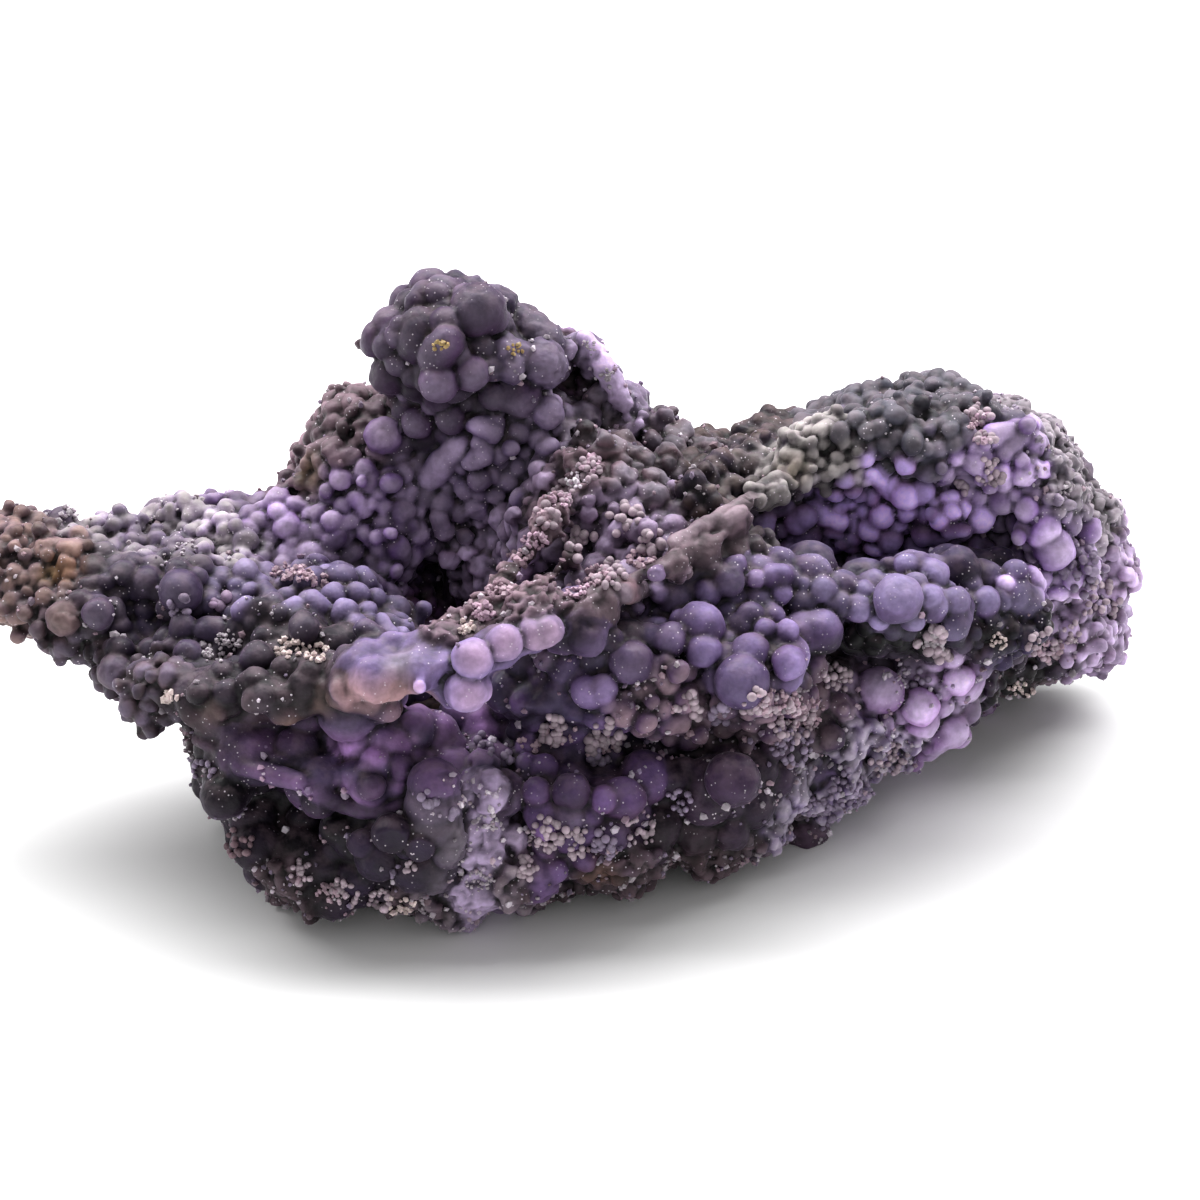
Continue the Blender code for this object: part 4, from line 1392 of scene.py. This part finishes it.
def grains_mesh(name, grains, chance):
    """Small angular grains: place, size and colour of each."""
    points, faces, tints = [], [], []
    for place, size, tint in grains:
        count = len(points)
        points += [place + corner for corner in grain(size, chance)]
        faces += [[index + count for index in face] for face in GRAIN_FACES]
        tints += [tint * chance.uniform(0.8, 1.15)] * len(GRAIN_CORNERS)
    mesh = bpy.data.meshes.new(name)
    mesh.from_pydata(points, [], faces)
    layer = mesh.color_attributes.new("Tint", "FLOAT_COLOR", "POINT")
    rgba = np.ones((len(points), 4), np.float32)
    rgba[:, :3] = tints
    layer.data.foreach_set("color", rgba.ravel())
    return mesh


def crystal_grains(skin, zones, grapes, chance):
    """Small crystals all over, as many as each area has."""
    grains = []
    for point, normal in surface_samples(skin, chance, CRYSTAL_TRIES):
        name = zones.at(point)
        zone = ZONES[name]
        patch = 0.3 + 1.8 * noise.noise(point / (3.5 * MM) + Vector((2, 9, 4)))
        if chance.random() > zone.get("crystals", 0.02) * patch * 1.3:
            continue
        size = (0.2 + 0.42 * chance.random() ** 2) * MM
        place = point + normal * size * 0.4
        if grapes.inside(place, size * 1.5):
            pale = colour(chance.choice(("pale grey", "white", "dusty pink", "grey lilac")))
            # The top colour mixed in here carries its painted highlight.
            tint = chance.uniform(0.4, 0.8) * pale + 0.3 * zone_tints(name)[2]
            grains.append((place, size, tint))
    return grains


def crust_grains(surface, grapes, chance):
    """The crusts that the photo shows."""
    grains = []
    for photo_x, photo_y, size, name, count, width in CRUSTS:
        for number in range(count):
            turn = chance.uniform(0, 6.28)
            reach = size * math.sqrt(chance.random())
            across, down = photo_x + reach * math.cos(turn), photo_y + reach * math.sin(turn) * 0.7
            camera, sight = sight_line(across, down)
            place, normal = surface.tree.ray_cast(camera, sight)[:2]
            if place and grapes.inside(place, width * MM * 1.3):
                half = chance.uniform(0.6, 1.1) * width * MM
                grains.append((place + normal * half * chance.uniform(0.2, 0.8), half, colour(name)))
    return grains


def cluster_mesh(surface, grapes, chance):
    """The clusters of small round grains that the photo shows."""
    sphere, sides = icosphere(2)
    points, faces, tints = [], [], []
    for photo_x, photo_y, size, name, count, width in CLUSTERS:
        for number in range(count):
            turn = chance.uniform(0, 6.28)
            reach = size * math.sqrt(chance.random())
            across, down = photo_x + reach * math.cos(turn), photo_y + reach * math.sin(turn)
            camera, sight = sight_line(across, down)
            place, normal = surface.tree.ray_cast(camera, sight)[:2]
            half = chance.uniform(0.65, 1.15) * width * MM
            if not place or not grapes.inside(place, half * 1.5):
                continue
            stretch = [chance.uniform(0.8, 1.2) * half for axis in range(3)]
            middle = place + normal * half * chance.uniform(0.1, 0.9)
            faces.append(sides + len(sphere) * len(points))
            points.append(sphere * stretch + np.array(middle))
            # Painted light: each grain is lighter on the side that faces out from the stone and towards the
            # camera, and darker on the far side.
            painted_shading = np.clip(0.75 + 0.4 * sphere @ np.array((normal - sight).normalized()), 0.4, 1.1)
            tints.append(colour(name) * chance.uniform(0.7, 1.15) * CLUSTER_TONE * painted_shading[:, None])
    return tinted_mesh("clusters", np.vstack(points), np.vstack(faces), np.vstack(tints))


def tinted_mesh(name, points, faces, tints):
    """A smooth mesh whose points carry their colours."""
    mesh = bpy.data.meshes.new(name)
    mesh.from_pydata(points, [], faces)
    layer = mesh.color_attributes.new("Tint", "FLOAT_COLOR", "POINT")
    rgba = np.ones((len(points), 4), np.float32)
    rgba[:, :3] = tints
    layer.data.foreach_set("color", rgba.ravel())
    mesh.shade_smooth()
    return mesh


def skin_pieces(core, stone, zones, grapes, chance):
    """The whole outside in a few meshes side by side, with one run of normals."""
    joined = joined_surface(core, grapes)
    points = points_of(joined)
    joins = Joins(points, grapes, stone)
    points = joins.followed(points)
    names = [zones.at(Vector(point)) for point in points]
    bare = {name: zone_tints(name) for name in ZONES}
    # The stone between the grapes takes the hollow colour, with its painted shade, as far as grapes cover the
    # area, and the side colour where they leave it bare.
    core_tones = {}
    for name, (low, side, top) in bare.items():
        core_tones[name] = low + (side - low) * (1 - ZONES[name]["cover"])
    core_tints = []
    for point in points:
        mixed = sum(core_tones[name] * share for name, share in zones.mix(Vector(point)))
        core_tints.append(mixed)
    core_tints = np.array(core_tints)
    tints = joins.tinted(points, grapes, grape_tints(grapes, stone, zones, chance), core_tints)
    tints = stained_and_painted_light(points, tints, stone)
    rough = np.array([ZONES[name].get("rough", 0.0) for name in names])
    points += noise_moves(points, WARP_SPAN, 3) * WARP
    points += noise_moves(points, ROUGH_SPAN, 5) * ROUGH_WARP * (0.2 + 0.8 * rough[:, None])
    for axis in range(3):
        points[:, axis] = np.clip(points[:, axis], grapes.low[axis], grapes.high[axis])
    joined.vertices.foreach_set("co", points.astype(np.float32).ravel())
    joined.update()
    normals = normals_of(joined)
    hollow = hollowness(joined, points, normals)
    # Painted shade: points lying below their neighbours, in creases, are darkened, and those standing out are
    # lightened.
    painted_shading = np.clip(1.0 - 5.0 * hollow, 0.06, 1.4)
    tints = tints * painted_shading[:, None]
    faces = triangles_of(joined)
    across = points[faces].mean(axis=1)[:, 0]
    bounds = np.quantile(across, np.linspace(0, 1, len(PIECES) + 1))
    bounds[-1] += MM
    made = {}
    for name, start, end in zip(PIECES, bounds, bounds[1:]):
        kept = faces[(across >= start) & (across < end)]
        used, flat = np.unique(kept, return_inverse=True)
        mesh = tinted_mesh(name, points[used], flat.reshape(-1, 3), tints[used])
        coarse = mesh.attributes.new("Rough", "FLOAT", "POINT")
        coarse.data.foreach_set("value", rough[used].astype(np.float32))
        mesh.normals_split_custom_set_from_vertices(normals[used])
        made[name] = mesh
    surface = Stone(joined)
    grains = crystal_grains(joined, zones, grapes, chance)
    made["crystals"] = grains_mesh("crystals", grains, chance)
    made["clusters"] = cluster_mesh(surface, grapes, chance)
    made["crusts"] = grains_mesh("crusts", crust_grains(surface, grapes, chance), chance)
    return made


def node(tree, kind, values=(), **settings):
    """A new node with its settings and the values of its inputs, by name or number."""
    made = tree.nodes.new(kind)
    for key, value in settings.items():
        setattr(made, key, value)
    for key, value in dict(values).items():
        made.inputs[key].default_value = value
    return made


def mix_colour(tree, blend, share, first, second):
    """Mixes two colours, each a socket or four numbers, by a share or by a socket."""
    made = node(tree, "ShaderNodeMix", data_type="RGBA", blend_type=blend)
    for key, value in ((0, share), (6, first), (7, second)):
        if isinstance(value, bpy.types.NodeSocket):
            tree.links.new(value, made.inputs[key])
        else:
            made.inputs[key].default_value = value
    return made.outputs[2]


def noise_value(tree, place, scale, detail=2.0, low=0.35, high=0.65, to_low=0.0, to_high=1.0):
    """Noise of so many waves a metre, stretched from the range low to high to the new range."""
    made = node(tree, "ShaderNodeTexNoise", {"Scale": scale, "Detail": detail})
    tree.links.new(place, made.inputs["Vector"])
    ranged = node(tree, "ShaderNodeMapRange", {1: low, 2: high, 3: to_low, 4: to_high})
    tree.links.new(made.outputs["Fac"], ranged.inputs[0])
    return ranged.outputs[0]


def chalcedony(name, roughness, bump, dust, specks_and_glints, glow):
    """The stone's finish, tinted by the colours that its points carry."""
    material = bpy.data.materials.new(name)
    material.use_nodes = True
    tree = material.node_tree
    shader = tree.nodes["Principled BSDF"]
    place = node(tree, "ShaderNodeTexCoord").outputs["Object"]
    tint = node(tree, "ShaderNodeVertexColor", layer_name="Tint").outputs["Color"]

    clouds = noise_value(tree, place, 260, 3, to_low=0.82, to_high=1.14)
    grain = noise_value(tree, place, 1400, 3, to_low=0.9, to_high=1.1)
    shades = node(tree, "ShaderNodeMath", operation="MULTIPLY")
    tree.links.new(clouds, shades.inputs[0])
    tree.links.new(grain, shades.inputs[1])
    scaled = node(tree, "ShaderNodeVectorMath", operation="SCALE")
    tree.links.new(tint, scaled.inputs[0])
    tree.links.new(shades.outputs[0], scaled.inputs["Scale"])

    up = node(tree, "ShaderNodeSeparateXYZ")
    tree.links.new(node(tree, "ShaderNodeNewGeometry").outputs["Normal"], up.inputs[0])
    upward = node(tree, "ShaderNodeMapRange", {1: 0.1, 2: 0.95, 3: 0.0, 4: dust})
    tree.links.new(up.outputs["Z"], upward.inputs[0])
    patches = noise_value(tree, place, 520, 4, 0.42, 0.62)
    dusty = node(tree, "ShaderNodeMath", operation="MULTIPLY")
    tree.links.new(upward.outputs[0], dusty.inputs[0])
    tree.links.new(patches, dusty.inputs[1])
    dusted = mix_colour(
        tree, "MIX", dusty.outputs[0], scaled.outputs[0], (*colour("dusty pink") * TONE, 1)
    )

    # White specks in patches, for tiny crystals and partly as painted glints.
    cells = node(tree, "ShaderNodeTexVoronoi", {"Scale": 1300})
    tree.links.new(place, cells.inputs["Vector"])
    near = node(tree, "ShaderNodeMapRange", {1: 0.10, 2: 0.17, 3: specks_and_glints, 4: 0.0})
    tree.links.new(cells.outputs["Distance"], near.inputs[0])
    where = noise_value(tree, place, 190, 2, 0.46, 0.6)
    speck_and_glint = node(tree, "ShaderNodeMath", operation="MULTIPLY")
    tree.links.new(near.outputs[0], speck_and_glint.inputs[0])
    tree.links.new(where, speck_and_glint.inputs[1])
    speckled_and_glints = mix_colour(tree, "MIX", speck_and_glint.outputs[0], dusted, (*colour("white"), 1))
    tree.links.new(speckled_and_glints, shader.inputs["Base Color"])

    rough = noise_value(tree, place, 700, 3, to_low=roughness - 0.1, to_high=roughness + 0.12)
    tree.links.new(rough, shader.inputs["Roughness"])
    relief = noise_value(tree, place, 1900, 4, 0.3, 0.7)
    raised = node(tree, "ShaderNodeBump", {"Strength": bump, "Distance": 0.12 * MM})
    tree.links.new(relief, raised.inputs["Height"])
    tree.links.new(raised.outputs[0], shader.inputs["Normal"])
    shader.inputs["Subsurface Weight"].default_value = glow
    shader.inputs["Subsurface Radius"].default_value = (1.0, 0.7, 1.0)
    shader.inputs["Subsurface Scale"].default_value = 0.6 * MM
    shader.inputs["Specular IOR Level"].default_value = 0.2
    shader.inputs["Sheen Weight"].default_value = 0.18
    shader.inputs["Sheen Roughness"].default_value = 0.25
    shader.inputs["Sheen Tint"].default_value = (0.75, 0.64, 0.88, 1)
    return material


def add_floor():
    floor_size = 12
    mesh = bpy.data.meshes.new("floor")
    half = floor_size / 2
    mesh.from_pydata(
        [(-half, -half, 0), (half, -half, 0), (half, half, 0), (-half, half, 0)], [], [(0, 1, 2, 3)]
    )
    floor = new_object("floor", mesh)
    material = bpy.data.materials.new("Floor")
    material.use_nodes = True
    shader = material.node_tree.nodes["Principled BSDF"]
    shader.inputs["Base Color"].default_value = (0.9, 0.9, 0.9, 1)
    shader.inputs["Roughness"].default_value = 0.8
    mesh.materials.append(material)
    floor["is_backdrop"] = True


def add_light():
    world = bpy.data.worlds.new("Studio")
    world.use_nodes = True
    world.node_tree.nodes["Background"].inputs["Color"].default_value = (1, 1, 1, 1)
    world.node_tree.nodes["Background"].inputs["Strength"].default_value = 0.45
    bpy.context.scene.world = world
    lamp = bpy.data.lights.new("Softbox", "AREA")
    lamp.shape = "RECTANGLE"
    lamp.size = 2.6
    lamp.size_y = 0.5
    lamp.energy = 40
    softbox = bpy.data.objects.new("Softbox", lamp)
    bpy.context.scene.collection.objects.link(softbox)
    softbox.location = (0.0, 0.45, 0.9)
    aim = TO_PART + LOOK_AT - softbox.location
    softbox.rotation_euler = aim.to_track_quat("-Z", "Y").to_euler()
    bpy.context.scene.view_settings.view_transform = "Standard"


def add_camera():
    camera = bpy.data.cameras.new("Camera")
    camera.lens = CAMERA_LENS
    camera.sensor_width = CAMERA_SENSOR
    camera.clip_start = MM
    holder = bpy.data.objects.new("Camera", camera)
    bpy.context.scene.collection.objects.link(holder)
    back = camera_axes()[0]
    holder.location = TO_PART + LOOK_AT + back * CAMERA_AWAY
    holder.rotation_euler = back.to_track_quat("Z", "Y").to_euler()
    bpy.context.scene.camera = holder


def add_piece(name, mesh, material):
    """A piece of the stone, moved from the photo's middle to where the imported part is."""
    mesh.transform(Matrix.Translation(TO_PART))
    mesh.materials.append(material)
    piece = new_object(name, mesh)
    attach(piece, BODY)
    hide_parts(NODE)


def main():
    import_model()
    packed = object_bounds()
    low, high = [[end - move for end, move in zip(side, TO_PART)] for side in packed]
    core = core_mesh()
    swollen(core, Stone(core))
    stone = Stone(core)
    zones = Zones(stone)
    grapes = Grapes(low, high)
    chance = random.Random(SEED)
    place_photo_grapes(grapes, stone, chance)
    place_stalks(grapes, stone)
    scatter(grapes, core, zones, chance)
    print("grapes", len(grapes.radii))
    look = chalcedony("Chalcedony", 0.52, 0.3, 0.3, 0.8, 0.25)
    grain_look = chalcedony("Crystals", 0.3, 0.0, 0.0, 0.0, 0.2)
    for name, mesh in skin_pieces(core, stone, zones, grapes, chance).items():
        print(name, len(mesh.polygons))
        add_piece(name, mesh, grain_look if name in ("crystals", "crusts") else look)
    add_floor()
    add_light()
    add_camera()
    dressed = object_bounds()
    boxes = {"packed": packed, "dressed": dressed}
    {name: [list(end) for end in box] for name, box in boxes.items()}


main()
